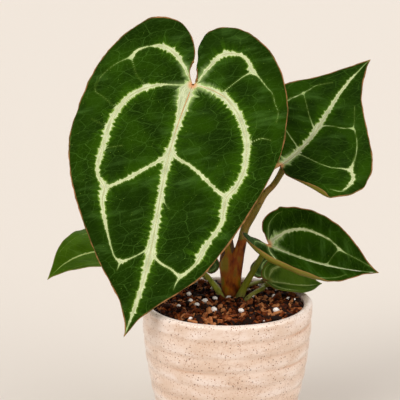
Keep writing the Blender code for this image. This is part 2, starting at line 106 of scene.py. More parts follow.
# Stalks
SEAT_RADII = 1.15
FORWARD_SEAT_RADII = 1.9
NECK_RADII = 2.2
STALK_STEP = 0.0016
KNEE_SWELLING = 0.32
KNEE_LENGTH = 0.011
STALK_GRAIN = 0.00007
FLARE_HEIGHT = 0.103
FLARE_FADE = 0.005

# Blades
MIDRIB_SHARE = 0.008
BLADE_THICKNESS = 0.0007
MARGIN_THICKNESS = 0.0004
FAN_SHARE = 0.36
ROW_POWER = 1.15
FAN_TURN = 40
LOBE_SWING = 26
LOBE_REACH = 0.22
LOBE_EASE = 0.05
HALF_WIDTH = 0.4
MARGIN_WAVES = 4
SCALLOP = 0.0006
BAND_CORE = 0.62
BAND_BLEND = 0.9
QUILT = 0.00045
RIPPLE = 0.0003
MARGIN_RIPPLE = 0.0005
LARGE_LEAF = 0.16
RIB_SHARE = 0.08
RIB_RADII = (0.00003, 0.00030)

# Settings that many shader nodes share
EASED = dict(interpolation_type="SMOOTHSTEP")
IN_COLOUR = dict(data_type="RGBA")
TIMES = dict(operation="MULTIPLY")
TIMES_PLUS = dict(operation="MULTIPLY_ADD")
LARGER = dict(operation="MAXIMUM")


@dataclass
class Half:
    """One side of a blade: its outline, how it folds and curls in degrees, and its veins.

    A vein is a list of (s, t, width) points, with the width of its silver band in midrib lengths. A roll
    turns the margin up over the face: the shares of the outline that it runs between, how much of the
    blade it takes up, how much longer that part is than on the flat outline, and its turn in degrees.
    The onset is how gently the lobe behind the stalk starts to bend. The fill is more silver skin, laid
    out like the veins but with no ribs. The swing is how many degrees the first rows of the flat grid
    set out forward of their ends, to get round a deep notch.
    """

    outline: list
    veins: list
    width: float = 1.0
    fold: float = 0.0
    curl: float = 0.0
    start: float = 0.05
    lobe: float = 0.0
    roll: tuple = ()
    onset: float = 0.0
    fill: list = field(default_factory=list)
    swing: float = LOBE_SWING

    @property
    def side(self):
        """-1 on the left of the midrib and 1 on its right."""
        return np.sign(self.outline[-3][0])


@dataclass
class Blade:
    """A blade: where its stalk meets it, its tip, the way its upper face looks, and its bends.

    The silver says how wide its bands are beside the ones laid out.
    """

    junction: tuple
    tip: tuple
    face: tuple
    length: float
    left: Half
    right: Half
    midrib: list
    arch: float = 0.0
    bow: float = 0.0
    sway: float = 0.0
    wave: float = 0.0
    silver: float = 1.0
    skin: str = "velvet"


@dataclass
class Stalk:
    """A leaf stalk: the points that it passes through, its radius at both ends, and its colours.

    The lean says which way its last bend lies: 1 towards the blade's tip, -1 away from it.
    """

    route: list
    foot_radius: float
    top_radius: float
    skin: str
    flare: float = 0.0
    lean: float = -1.0


FRONT_LEFT = [
    (0, 0), (-0.022, -0.042), (-0.024, -0.074), (-0.019, -0.101), (-0.029, -0.14), (-0.054, -0.183),
    (-0.091, -0.216), (-0.131, -0.228), (-0.185, -0.222), (-0.24, -0.195), (-0.312, -0.108), (-0.364, 0),
    (-0.379, 0.118), (-0.384, 0.22), (-0.384, 0.312), (-0.359, 0.436), (-0.316, 0.538), (-0.259, 0.638),
    (-0.191, 0.735), (-0.122, 0.81), (-0.071, 0.863), (-0.025, 0.93), (-0.007, 0.97), (0, 1),
]
FRONT_RIGHT = [
    (0, 0), (0.01, -0.017), (0.006, -0.041), (-0.004, -0.071), (-0.008, -0.104), (-0.016, -0.135),
    (-0.014, -0.173), (0.002, -0.212), (0.03, -0.238), (0.068, -0.253), (0.116, -0.258), (0.159, -0.25),
    (0.207, -0.229), (0.256, -0.199), (0.32, -0.127), (0.367, -0.031), (0.397, 0.08), (0.41, 0.186),
    (0.384, 0.311), (0.352, 0.401), (0.306, 0.511), (0.221, 0.681), (0.159, 0.764), (0.096, 0.832),
    (0.038, 0.908), (0.013, 0.965), (0, 1),
]
HEART = [
    (0, 0), (0.012, -0.04), (0.012, -0.10), (0.035, -0.17), (0.09, -0.212), (0.17, -0.212),
    (0.25, -0.18), (0.33, -0.10), (0.375, 0), (0.397, 0.12), (0.39, 0.24), (0.345, 0.41),
    (0.26, 0.60), (0.15, 0.78), (0.07, 0.885), (0.02, 0.96), (0, 1),
]
BROAD_HEART = [
    (0, 0), (0.012, -0.04), (0.012, -0.10), (0.035, -0.17), (0.09, -0.214), (0.18, -0.214),
    (0.28, -0.178), (0.38, -0.09), (0.45, 0.03), (0.482, 0.15), (0.465, 0.28), (0.40, 0.43),
    (0.29, 0.57), (0.17, 0.71), (0.08, 0.85), (0.02, 0.96), (0, 1),
]
UPPER_LEFT = [
    (0, 0), (-0.02, -0.008), (-0.06, -0.035), (-0.121, -0.066), (-0.201, -0.083), (-0.291, -0.08),
    (-0.383, -0.038), (-0.45, 0.047), (-0.49, 0.15), (-0.477, 0.281), (-0.405, 0.431), (-0.288, 0.571),
    (-0.168, 0.713), (-0.078, 0.852), (-0.018, 0.962), (0, 1),
]

FRONT_MIDRIB = [
    (0, 0, 0.010), (0, 0.03, 0.034), (0, 0.08, 0.042), (0, 0.15, 0.036), (0, 0.23, 0.026),
    (0, 0.285, 0.044), (0, 0.33, 0.036), (0, 0.42, 0.026), (0, 0.52, 0.034), (0, 0.60, 0.040),
    (0, 0.67, 0.050), (0, 0.74, 0.032), (0, 0.82, 0.024), (0, 0.88, 0.022), (0, 0.94, 0.010),
    (0, 1, 0.002),
]
FRONT_LEFT_VEINS = [
    [
        (0, 0, 0.006), (-0.052, 0.016, 0.007), (-0.10, 0.028, 0.010), (-0.14, 0.046, 0.024),
        (-0.187, 0.081, 0.028), (-0.22, 0.128, 0.030), (-0.246, 0.207, 0.030), (-0.25, 0.3, 0.028),
        (-0.256, 0.392, 0.024), (-0.247, 0.431, 0.016), (-0.215, 0.471, 0.034), (-0.215, 0.52, 0.028),
        (-0.184, 0.609, 0.014), (-0.136, 0.703, 0.007), (-0.102, 0.723, 0.014), (-0.066, 0.701, 0.008),
        (-0.025, 0.665, 0.007), (0, 0.63, 0.010),
    ],
    [
        (0, 0.28, 0.018), (-0.026, 0.31, 0.018), (-0.067, 0.35, 0.016), (-0.116, 0.396, 0.017),
        (-0.159, 0.432, 0.015), (-0.213, 0.469, 0.016),
    ],
    [
        (0, 0, 0.006), (-0.026, -0.032, 0.013), (-0.05, -0.059, 0.016), (-0.082, -0.088, 0.022),
        (-0.122, -0.11, 0.026), (-0.156, -0.112, 0.024), (-0.195, -0.101, 0.007),
        (-0.237, -0.075, 0.013), (-0.254, -0.04, 0.011),
    ],
    [
        (-0.250, -0.045, 0.006), (-0.295, -0.009, 0.004), (-0.323, 0.029, 0.003), (-0.341, 0.072, 0.003),
        (-0.342, 0.12, 0.003), (-0.300, 0.137, 0.003), (-0.235, 0.17, 0.003),
    ],
    [(-0.25, -0.035, 0.005), (-0.214, 0.02, 0.003), (-0.165, 0.05, 0.004)],
    [(-0.102, 0.723, 0.009), (-0.107, 0.76, 0.003)],
    [(-0.25, 0.33, 0.004), (-0.215, 0.312, 0.0015), (-0.18, 0.297, 0.001)],
    [(-0.245, 0.245, 0.004), (-0.29, 0.236, 0.0015), (-0.32, 0.229, 0.001)],
]
FRONT_LEFT_FILL = [
    [
        (-0.012, 0.008, 0.036), (-0.025, 0.026, 0.038), (-0.022, 0.058, 0.034), (-0.016, 0.095, 0.026),
        (-0.006, 0.13, 0.018),
    ],
]
FRONT_RIGHT_VEINS = [
    [
        (0, 0, 0.010), (0.04, -0.002, 0.018), (0.08, 0.002, 0.026), (0.115, 0.010, 0.036),
        (0.150, 0.024, 0.038), (0.217, 0.079, 0.036), (0.269, 0.158, 0.034), (0.288, 0.235, 0.033),
        (0.290, 0.28, 0.031), (0.275, 0.34, 0.028), (0.249, 0.384, 0.034), (0.246, 0.44, 0.031),
        (0.246, 0.486, 0.024), (0.206, 0.575, 0.022), (0.190, 0.62, 0.034), (0.177, 0.66, 0.016),
        (0.134, 0.717, 0.014), (0.093, 0.703, 0.012), (0.045, 0.69, 0.012), (0, 0.66, 0.014),
    ],
    [
        (0, 0.262, 0.020), (0.035, 0.289, 0.017), (0.09, 0.304, 0.014), (0.147, 0.334, 0.016),
        (0.204, 0.367, 0.016), (0.249, 0.384, 0.024),
    ],
    [
        (0, 0, 0.006), (0.016, -0.019, 0.009), (0.03, -0.055, 0.013), (0.049, -0.094, 0.018),
        (0.072, -0.134, 0.023), (0.1, -0.152, 0.026), (0.14, -0.159, 0.016), (0.177, -0.146, 0.018),
        (0.2, -0.118, 0.024), (0.215, -0.105, 0.014),
    ],
    [
        (0.207, -0.112, 0.010), (0.243, -0.089, 0.007), (0.28, -0.061, 0.005), (0.303, -0.046, 0.004),
        (0.323, -0.01, 0.004), (0.345, 0.02, 0.003), (0.352, 0.06, 0.002),
    ],
    [(0.205, -0.105, 0.010), (0.179, -0.08, 0.006), (0.154, -0.048, 0.005), (0.125, -0.008, 0.006)],
    [(0.288, 0.157, 0.005), (0.319, 0.132, 0.006), (0.356, 0.13, 0.003)],
    [(0.134, 0.717, 0.010), (0.122, 0.75, 0.007), (0.12, 0.775, 0.002)],
    [(0, 0.44, 0.016), (0.022, 0.468, 0.005), (0.042, 0.486, 0.001)],
]
ARC = [
    (0, 0, 0.006), (0.06, -0.004, 0.010), (0.13, 0.02, 0.022), (0.20, 0.07, 0.025), (0.245, 0.15, 0.025),
    (0.262, 0.26, 0.023), (0.25, 0.37, 0.020), (0.225, 0.47, 0.018), (0.19, 0.57, 0.014),
    (0.14, 0.67, 0.010), (0.09, 0.735, 0.007), (0.03, 0.76, 0.004), (0, 0.74, 0.004),
]
OPEN_ARC = ARC[:7] + [(0.232, 0.47, 0.010), (0.20, 0.58, 0.006), (0.155, 0.69, 0.004), (0.11, 0.79, 0.002)]
LATERAL = [(0, 0.28, 0.014), (0.06, 0.31, 0.011), (0.14, 0.37, 0.009), (0.232, 0.44, 0.010)]
LOBE = [
    (0, 0, 0.006), (0.03, -0.06, 0.013), (0.08, -0.12, 0.018), (0.15, -0.14, 0.016),
    (0.21, -0.11, 0.012), (0.25, -0.05, 0.008), (0.29, 0.03, 0.004),
]
MIDRIB = [
    (0, 0, 0.010), (0, 0.05, 0.026), (0, 0.15, 0.022), (0, 0.29, 0.028), (0, 0.4, 0.020),
    (0, 0.6, 0.020), (0, 0.8, 0.014), (0, 0.93, 0.006), (0, 1, 0.003),
]
UPPER_MIDRIB = [
    (0, 0, 0.012), (0, 0.04, 0.034), (0, 0.12, 0.042), (0, 0.20, 0.030), (0, 0.28, 0.034),
    (0, 0.38, 0.040), (0, 0.44, 0.034), (0, 0.55, 0.026), (0, 0.66, 0.022), (0, 0.78, 0.018),
    (0, 0.88, 0.008), (0, 1, 0.003),
]
UPPER_LEFT_VEINS = [
    [
        (0, 0.13, 0.012), (-0.03, 0.15, 0.008), (-0.097, 0.156, 0.007), (-0.178, 0.163, 0.006),
        (-0.254, 0.183, 0.006), (-0.306, 0.217, 0.008), (-0.355, 0.243, 0.016),
    ],
    [
        (0, 0.40, 0.014), (-0.039, 0.428, 0.008), (-0.103, 0.454, 0.006), (-0.161, 0.472, 0.006),
        (-0.224, 0.505, 0.007), (-0.254, 0.484, 0.006), (-0.297, 0.429, 0.006), (-0.326, 0.363, 0.008),
        (-0.346, 0.301, 0.012), (-0.362, 0.251, 0.020), (-0.402, 0.213, 0.020), (-0.416, 0.169, 0.018),
        (-0.42, 0.118, 0.013), (-0.412, 0.075, 0.007), (-0.36, 0.045, 0.003),
    ],
    [(-0.224, 0.505, 0.006), (-0.205, 0.556, 0.003), (-0.15, 0.65, 0.002)],
]
UPPER_RIGHT_VEINS = [
    [
        (0, 0, 0.006), (0.06, 0, 0.010), (0.14, 0.03, 0.022), (0.22, 0.09, 0.024), (0.27, 0.18, 0.020),
        (0.282, 0.3, 0.014), (0.262, 0.431, 0.009), (0.221, 0.499, 0.008), (0.181, 0.573, 0.006),
        (0.154, 0.636, 0.004), (0.08, 0.72, 0.003),
    ],
    [
        (0, 0.17, 0.012), (0.033, 0.193, 0.008), (0.101, 0.22, 0.007), (0.16, 0.245, 0.006),
        (0.275, 0.30, 0.006),
    ],
    [(0, 0.36, 0.012), (0.08, 0.42, 0.005), (0.16, 0.5, 0.004), (0.2, 0.54, 0.004)],
    LOBE,
]
ROUND_HEART = [
    (0, 0), (0.044, -0.065), (0.053, -0.108), (0.078, -0.153), (0.101, -0.179), (0.148, -0.186),
    (0.205, -0.15), (0.26, -0.068), (0.305, 0.029), (0.357, 0.142), (0.379, 0.258), (0.357, 0.421),
    (0.276, 0.602), (0.164, 0.772), (0.085, 0.869), (0.034, 0.94), (0, 1),
]
LONG_HEART = [
    (0, 0), (-0.004, -0.05), (-0.004, -0.139), (-0.025, -0.238), (-0.083, -0.297), (-0.166, -0.276),
    (-0.245, -0.204), (-0.323, -0.124), (-0.364, -0.025), (-0.383, 0.094), (-0.372, 0.213), (-0.324, 0.381),
    (-0.234, 0.565), (-0.125, 0.736), (-0.052, 0.845), (-0.014, 0.93), (0, 1),
]
RIGHT_MIDRIB = [
    (0, 0, 0.010), (0, 0.05, 0.022), (0, 0.2, 0.018), (0, 0.4, 0.017), (0, 0.55, 0.014),
    (0, 0.7, 0.009), (0, 0.85, 0.005), (0, 1, 0.003),
]
RIGHT_LEFT_VEINS = [
    [
        (0, 0, 0.006), (-0.073, 0.002, 0.009), (-0.13, 0.038, 0.014), (-0.19, 0.10, 0.017),
        (-0.23, 0.2, 0.017), (-0.235, 0.32, 0.014), (-0.21, 0.45, 0.010), (-0.15, 0.6, 0.006),
        (-0.07, 0.72, 0.004),
    ],
    [
        (0, 0, 0.005), (-0.03, -0.07, 0.007), (-0.05, -0.13, 0.006), (-0.1, -0.16, 0.005),
        (-0.17, -0.14, 0.004),
    ],
]
RIGHT_RIGHT_VEINS = [
    [
        (0, 0, 0.012), (0.035, 0.022, 0.034), (0.068, 0.051, 0.034), (0.10, 0.082, 0.026),
        (0.132, 0.113, 0.024), (0.172, 0.181, 0.021), (0.2, 0.278, 0.021), (0.202, 0.374, 0.017),
        (0.187, 0.485, 0.014), (0.161, 0.557, 0.010), (0.131, 0.614, 0.013), (0.106, 0.701, 0.006),
        (0.077, 0.809, 0.004), (0.029, 0.948, 0.003),
    ],
    [(0.131, 0.614, 0.008), (0.083, 0.586, 0.005), (0.033, 0.566, 0.006), (0, 0.55, 0.009)],
    [
        (0, 0, 0.005), (0.076, -0.043, 0.005), (0.133, -0.078, 0.006), (0.197, -0.044, 0.005),
        (0.255, 0.017, 0.003),
    ],
]


def plain_half(side, veins, **bends):
    """One side of a plain heart-shaped blade, which is laid out for the right and mirrored for the left."""
    turn = {"left": -1, "right": 1}[side]
    outline, *veins = [[(turn * point[0], *point[1:]) for point in points] for points in (HEART, *veins)]
    return Half(outline, veins, **bends)


BLADES = {
    "front": Blade(
        (-0.0238, -0.0060, 0.2574), (-0.0686, -0.0500, 0.0941), face=(0, -1, 0.25), length=0.176,
        left=Half(FRONT_LEFT, FRONT_LEFT_VEINS, fold=6, curl=-12, fill=FRONT_LEFT_FILL),
        right=Half(FRONT_RIGHT, FRONT_RIGHT_VEINS, fold=6, curl=-12),
        midrib=FRONT_MIDRIB, arch=0.02, sway=-0.016, wave=0.004,
    ),
    "upper": Blade(
        (0.0371, 0.0228, 0.1966), (0.1017, 0.0561, 0.2682), face=(-0.51, -0.85, -0.14), length=0.116,
        left=Half(UPPER_LEFT, UPPER_LEFT_VEINS, width=1.03, fold=31.5, curl=-25, start=0.022, lobe=91.5,
                  roll=(0.01, 0.64, 0.0032, 1.4, 90), onset=0.03, swing=13),
        right=Half(BROAD_HEART, UPPER_RIGHT_VEINS, fold=-3, curl=-3, start=0.2, lobe=20),
        midrib=UPPER_MIDRIB, arch=-0.055, sway=-0.022, wave=0.006, silver=1.3,
    ),
    "right": Blade(
        (0.0290, 0.0059, 0.1438), (0.1077, 0.0143, 0.1213), face=(0.37, -0.63, 0.68), length=0.095,
        left=Half(LONG_HEART, RIGHT_LEFT_VEINS, fold=23, curl=39.4, start=0.105, lobe=12.8,
                  roll=(0.08, 0.84, 0.0029, 1.5, 105)),
        right=Half(ROUND_HEART, RIGHT_RIGHT_VEINS, width=1.1, fold=52.2, curl=39.3, start=0.135, lobe=46,
                   onset=0.04, swing=40),
        midrib=RIGHT_MIDRIB, arch=-0.075, wave=0.002, silver=1.35,
    ),
    "small": Blade(
        (0.0302, 0.0180, 0.1132), (0.0690, 0.0320, 0.1080), face=(0.27, -0.43, 0.86), length=0.047,
        left=plain_half("left", [OPEN_ARC, LOBE], fold=25, curl=18, start=0.27, lobe=26),
        right=plain_half("right", [OPEN_ARC, LOBE], fold=40, curl=40, start=0.01, lobe=28),
        midrib=MIDRIB, arch=-0.04, bow=-0.02, sway=0.015, silver=2.0, skin="young",
    ),
    "left": Blade(
        (-0.0527, 0.0380, 0.1381), (-0.1250, -0.0086, 0.1214), face=(0.08, -0.32, 0.94), length=0.099,
        left=plain_half("left", [OPEN_ARC, LOBE], width=1.03, fold=9, curl=-34, start=0.065, lobe=13),
        right=plain_half("right", [OPEN_ARC, LOBE], fold=11, curl=7, start=0.3, lobe=37),
        midrib=MIDRIB, arch=0.07, bow=-0.014, sway=0.045, wave=0.006, skin="fresh",
    ),
    "back_left": Blade(
        (-0.0170, 0.0420, 0.1140), (-0.0480, 0.0680, 0.1190), face=(0.1, -0.3, 1.0), length=0.042,
        left=plain_half("left", [ARC, LATERAL, LOBE], fold=18, curl=-10, lobe=20),
        right=plain_half("right", [ARC, LATERAL, LOBE], fold=18, curl=-10, lobe=20),
        midrib=MIDRIB, arch=0.06,
    ),
    "back_right": Blade(
        (0.0290, 0.0420, 0.1110), (0.0610, 0.0690, 0.1170), face=(-0.1, -0.3, 1.0), length=0.043,
        left=plain_half("left", [ARC, LATERAL, LOBE], fold=16, curl=-10, lobe=20),
        right=plain_half("right", [ARC, LATERAL, LOBE], fold=16, curl=-10, lobe=20),
        midrib=MIDRIB, arch=0.06,
    ),
}

BRANCHES = {
    "front": [
        ((0.0024, 0.0160, 0.094), 0.0056), ((0.0024, 0.0160, 0.102), 0.0056),
        ((0.0012, 0.0160, 0.115), 0.0056), ((0.0000, 0.0165, 0.128), 0.0058),
        ((0.0002, 0.0170, 0.138), 0.0047), ((-0.0016, 0.0180, 0.149), 0.0034),
    ],
    "upper": [
        ((0.0034, 0.0158, 0.094), 0.0056), ((0.0034, 0.0158, 0.102), 0.0055),
        ((0.0048, 0.0150, 0.115), 0.0053), ((0.0068, 0.0145, 0.128), 0.0048),
        ((0.0090, 0.0140, 0.138), 0.0041), ((0.0118, 0.0134, 0.149), 0.0032),
    ],
}

STALKS = {
    "front": Stalk(
        [(-0.0006, 0.0174, 0.143), (-0.0037, 0.0191, 0.157), (-0.0120, 0.0235, 0.180),
         (-0.0210, 0.0240, 0.210), (-0.0250, 0.0180, 0.237)],
        0.0029, 0.0020, "old", lean=0.4,
    ),
    "upper": Stalk(
        [(0.0102, 0.0138, 0.143), (0.0127, 0.0133, 0.154), (0.0182, 0.0165, 0.163),
         (0.0259, 0.0215, 0.176)],
        0.0033, 0.0019, "old", lean=-2.6,
    ),
    "right": Stalk(
        [(0.0092, 0.0090, 0.096), (0.0092, 0.0090, 0.1040), (0.0128, 0.0088, 0.1130),
         (0.0185, 0.0084, 0.1240), (0.0240, 0.0080, 0.1340)],
        0.0026, 0.0018, "green", flare=0.5, lean=0.2,
    ),
    "small": Stalk(
        [(0.0134, 0.0052, 0.096), (0.0134, 0.0052, 0.1030), (0.0200, 0.0095, 0.1076),
         (0.0256, 0.0152, 0.1088)],
        0.0016, 0.0012, "fresh", flare=0.2,
    ),
    "left": Stalk(
        [(-0.0036, 0.0090, 0.096), (-0.0036, 0.0090, 0.1035), (-0.0090, 0.0125, 0.1110),
         (-0.0150, 0.0165, 0.1180), (-0.0300, 0.0270, 0.1280), (-0.0445, 0.0355, 0.1325)],
        0.0019, 0.0015, "fresh", flare=0.2,
    ),
    "back_left": Stalk(
        [(-0.0044, 0.0205, 0.096), (-0.0044, 0.0205, 0.1035), (-0.0085, 0.0280, 0.1078),
         (-0.0126, 0.0352, 0.1090)],
        0.0015, 0.0011, "fresh",
    ),
    "back_right": Stalk(
        [(0.0105, 0.0205, 0.096), (0.0105, 0.0205, 0.1035), (0.0150, 0.0260, 0.1072),
         (0.0222, 0.0348, 0.1074)],
        0.0015, 0.0011, "fresh",
    ),
}

# The colours of the blades' upper skins, from the dark field to the silver bands. The streak colour is
# painted sheen, and the deep colour also serves as painted shade towards the tip and the lobes
SKINS = {
    "velvet": dict(
        deep="#142900", field="#223f00", streak="#456828", glow="#3c6606", halo="#83a53c", bloom="#9fba74",
        band="#a9b48c", shine="#d6dfb6", net="#527a2c", stalk="#d08c5c", rim="#a9764c",
    ),
    "young": dict(
        deep="#2c4a0c", field="#5c7c20", streak="#6c8a40", glow="#567820", halo="#6d8e36", bloom="#7c9844",
        band="#8fa458", shine="#a6b86e", net="#6f8e3c", stalk="#7f8a3c", rim="#6f7a34",
    ),
    "fresh": dict(
        deep="#2f4a00", field="#3d5c06", streak="#4a6a1e", glow="#48690e", halo="#5c7c26", bloom="#6e8c34",
        band="#8a9f54", shine="#a5b674", net="#5f8024", stalk="#8a8a3c", rim="#7f7a34",
    ),
}
STALK_SKINS = {
    "old": ("#86762c", "#90682a", "#68621e"),
    "green": ("#7f8618", "#8a7428", "#5f6c0e"),
    "fresh": ("#8d952c", "#80782a", "#6a7a18"),
}


def unit(vector):
    """The vector at length one."""
    vector = np.asarray(vector, float)
    return vector / np.linalg.norm(vector)


def linear(code):
    """A #rrggbb colour as linear RGBA."""
    parts = [int(code[n:n + 2], 16) / 255 for n in (1, 3, 5)]
    return [part / 12.92 if part < 0.04045 else ((part + 0.055) / 1.055) ** 2.4 for part in parts] + [1]


def smooth_path(points, count):
    """Evenly spaced points on a smooth curve through the given ones, of any number of values each."""
    points = np.array(points, float)
    points = np.vstack([2 * points[0] - points[1], points, 2 * points[-1] - points[-2]])
    curve = []
    for before, start, end, after in zip(points, points[1:], points[2:], points[3:]):
        for u in np.linspace(0, 1, 16, endpoint=False):
            curve.append(0.5 * (
                2 * start + (end - before) * u
                + (2 * before - 5 * start + 4 * end - after) * u ** 2
                + (3 * start - before - 3 * end + after) * u ** 3
            ))
    curve = np.array(curve + [points[-2]])
    reach = np.concatenate([[0], np.cumsum(np.linalg.norm(np.diff(curve, axis=0), axis=1))])
    even = np.linspace(0, reach[-1], count)
    return np.stack([np.interp(even, reach, column) for column in curve.T], axis=1)


def flat_half(half, rows, columns):
    """A flat grid of (s, t) over one side, each row an arc from the midrib out to the margin.

    The first rows all start at the stalk and fan out over the lobe, each heading further round than
    the one before it.
    """
    margin = smooth_path(half.outline, rows) * [half.width, 1]
    v = np.linspace(0, 1, rows)
    along = np.clip((v - FAN_SHARE) / (1 - FAN_SHARE), 0, 1) ** ROW_POWER
    midrib = np.stack([np.zeros(rows), along], axis=1)
    reach = margin - midrib
    heading = np.arctan2(half.side * reach[:, 0], -reach[:, 1])
    heading[0] = heading[1]
    swing = math.radians(half.swing) * np.clip(1 - 2 * v / FAN_SHARE, 0, 1)
    turn = math.radians(FAN_TURN) * v
    spread = np.maximum.accumulate(heading + swing - turn) + turn
    heading = np.where(v < FAN_SHARE, spread, heading)
    length = np.linalg.norm(reach, axis=1)
    knee = midrib + np.stack([half.side * length * np.sin(heading), -length * np.cos(heading)], axis=1) / 2
    share = np.linspace(0, 1, columns)
    u = (0.6 * share + 0.2 * (1 - np.cos(math.pi * share)))[None, :, None]
    return (1 - u) ** 2 * midrib[:, None] + 2 * u * (1 - u) * knee[:, None] + u ** 2 * margin[:, None]


def fold_and_curl(across, half):
    """How far out and up a point gets that lies this far across the flat blade."""
    fold = math.radians(half.fold)
    bend = math.radians(half.curl + 1e-6) / (HALF_WIDTH - half.start)
    straight = np.minimum(across, half.start)
    angle = fold + bend * np.maximum(across - half.start, 0)
    out = straight * math.cos(fold) + (np.sin(angle) - math.sin(fold)) / bend
    up = straight * math.sin(fold) + (math.cos(fold) - np.cos(angle)) / bend
    return out, up


def blade_axes(blade):
    """Unit vectors along a blade to its tip, across it to its right, and up out of its upper face."""
    along = unit(np.subtract(blade.tip, blade.junction))
    face = unit(blade.face)
    up = unit(face - face.dot(along) * along)
    return along, np.cross(up, along), up


def bend_half(blade, half, flat):
    """Bend flat points of one side of a blade into their places in the scene."""
    along_axis, across_axis, up_axis = blade_axes(blade)
    s, t = flat[..., 0], flat[..., 1]
    out, up = fold_and_curl(half.side * s, half)
    up = up + blade.wave * (s / HALF_WIDTH) ** 2 * np.sin(2 * math.pi * MARGIN_WAVES * t)
    ease = np.clip(np.abs(s) / LOBE_EASE, 0, 1)
    lobe_bend = math.radians(half.lobe) / LOBE_REACH * ease ** 2 * (3 - 2 * ease) + 1e-6
    back = np.minimum(t, 0)
    front = np.maximum(t, 0)
    tilt = lobe_bend * back * np.abs(back) / (np.abs(back) + half.onset + 1e-9)
    hump = 4 * front * (1 - front)
    chord = np.linalg.norm(np.subtract(blade.tip, blade.junction)) / blade.length
    along = chord * (front + back * np.sinc(tilt / math.pi)) - np.sin(tilt) * up
    lift = back * np.sinc(tilt / 2 / math.pi) * np.sin(tilt / 2)
    up = np.cos(tilt) * up + lift + blade.arch * (hump + 4 * back)
    across = half.side * out + blade.bow * hump + blade.sway * np.sin(2 * math.pi * front)
    place = along[..., None] * along_axis + across[..., None] * across_axis + up[..., None] * up_axis
    return np.array(blade.junction) + blade.length * place


def blade_normals(blade, half, flat):
    """The way that the upper face looks at flat points of one side of a blade."""
    step = 0.002
    here = bend_half(blade, half, flat)
    out = bend_half(blade, half, flat + [half.side * step, 0]) - here
    on = bend_half(blade, half, flat + [0, step]) - here
    normal = half.side * np.cross(on, out)
    return normal / np.linalg.norm(normal, axis=-1, keepdims=True)


def nearest_on_path(points, path):
    """Distance of flat points from a path, how far along it they lie, their side, and its width there."""
    start, end = path[:-1], path[1:]
    run = (end - start)[:, :2]
    lengths = np.linalg.norm(run, axis=1)
    reach = np.concatenate([[0], np.cumsum(lengths)[:-1]])
    to_point = points[:, None] - start[None, :, :2]
    share = np.clip((to_point * run).sum(-1) / lengths ** 2, 0, 1)
    offset = to_point - share[..., None] * run
    distance = np.linalg.norm(offset, axis=-1)
    width = start[:, 2] + share * (end - start)[:, 2]
    pick = np.argmin(distance - width / 2, axis=1)
    rows = np.arange(len(points))
    cross = run[:, 0] * to_point[..., 1] - run[:, 1] * to_point[..., 0]
    along = reach + share * lengths
    return distance[rows, pick], along[rows, pick], np.sign(cross[rows, pick]), width[rows, pick]


def vein_paths(blade, filled):
    """Every vein of a blade, and its fill, as a fine flat path with its band's width and its half."""
    core = BAND_CORE * blade.silver
    paths = [(blade.right, smooth_path(blade.midrib, 120) * [1, 1, core])]
    for half in (blade.left, blade.right):
        for vein in half.veins + (half.fill if filled else []):
            vein = [(s * half.width, t, width * core) for s, t, width in vein]
            length = sum(math.dist(start[:2], end[:2]) for start, end in zip(vein, vein[1:]))
            paths.append((half, smooth_path(vein, max(6, round(length / 0.012)))))
    return paths


def vein_field(blade, points):
    """Where flat points lie against the nearest silver band, in millimetres.

    Gives how far they are outside its edge, from its middle and along it, on which side of it they are,
    and how wide it is there. Where bands meet, their edges blend into a rounded fork.
    """
    scale = blade.length / MM
    total = np.zeros(len(points))
    best = np.full(len(points), 1e9)
    middle, along, side, width = (np.zeros(len(points)) for _ in range(4))
    for index, (_, path) in enumerate(vein_paths(blade, True)):
        distance, place, hand, band = nearest_on_path(points, path)
        edge = (distance - band / 2) * scale
        total += np.exp(-np.clip(edge, -60, 60) / BAND_BLEND)
        nearer = edge < best
        best = np.where(nearer, edge, best)
        middle = np.where(nearer, distance * scale, middle)
        along = np.where(nearer, place * scale + 400 * index, along)
        side = np.where(nearer, hand, side)
        width = np.where(nearer, band * scale, width)
    return -BAND_BLEND * np.log(total + 1e-30), middle, along, side, width


def blade_relief(blade, points, edge):
    """How far the upper face stands up between its veins, in metres: soft quilting and slow ripples."""
    grow = min(1.0, blade.length / 0.12)
    s, t = points[:, 0] * blade.length, points[:, 1] * blade.length
    quilt = QUILT * grow * (1 - np.exp(-np.maximum(edge, 0) / 5))
    sweep = t + 0.5 * s
    ripple = RIPPLE * grow * np.sin(sweep / 0.0042 + 2 * np.sin(np.abs(s) / 0.02)) * np.clip(edge / 8, 0, 1)
    return quilt + ripple - 0.0002 * grow


def scalloped(flat, half, length):
    """Flat rows with their outer ends pushed in and out a little, as a real margin is uneven."""
    margin = flat[:, -1] * length
    reach = np.concatenate([[0], np.cumsum(np.linalg.norm(np.diff(margin, axis=0), axis=1))])
    push = [sum(strength * noise.noise(Vector((way / size, half.side * 5 + size * 900, 0)))
                for size, strength in ((0.018, 0.9), (0.0075, 0.9), (0.0032, 0.5)))
            for way in reach]
    ends = np.clip(np.minimum(reach, reach[-1] - reach) / 0.02, 0, 1)
    outward = flat[:, -1] - flat[:, -2]
    outward /= np.linalg.norm(outward, axis=1, keepdims=True) + 1e-9
    amount = SCALLOP * min(1, length / LARGE_LEAF) ** 1.5 * np.array(push) * ends / length
    share = np.linspace(0, 1, flat.shape[1])[None, :, None] ** 6
    return flat + share * (amount[:, None] * outward)[:, None]


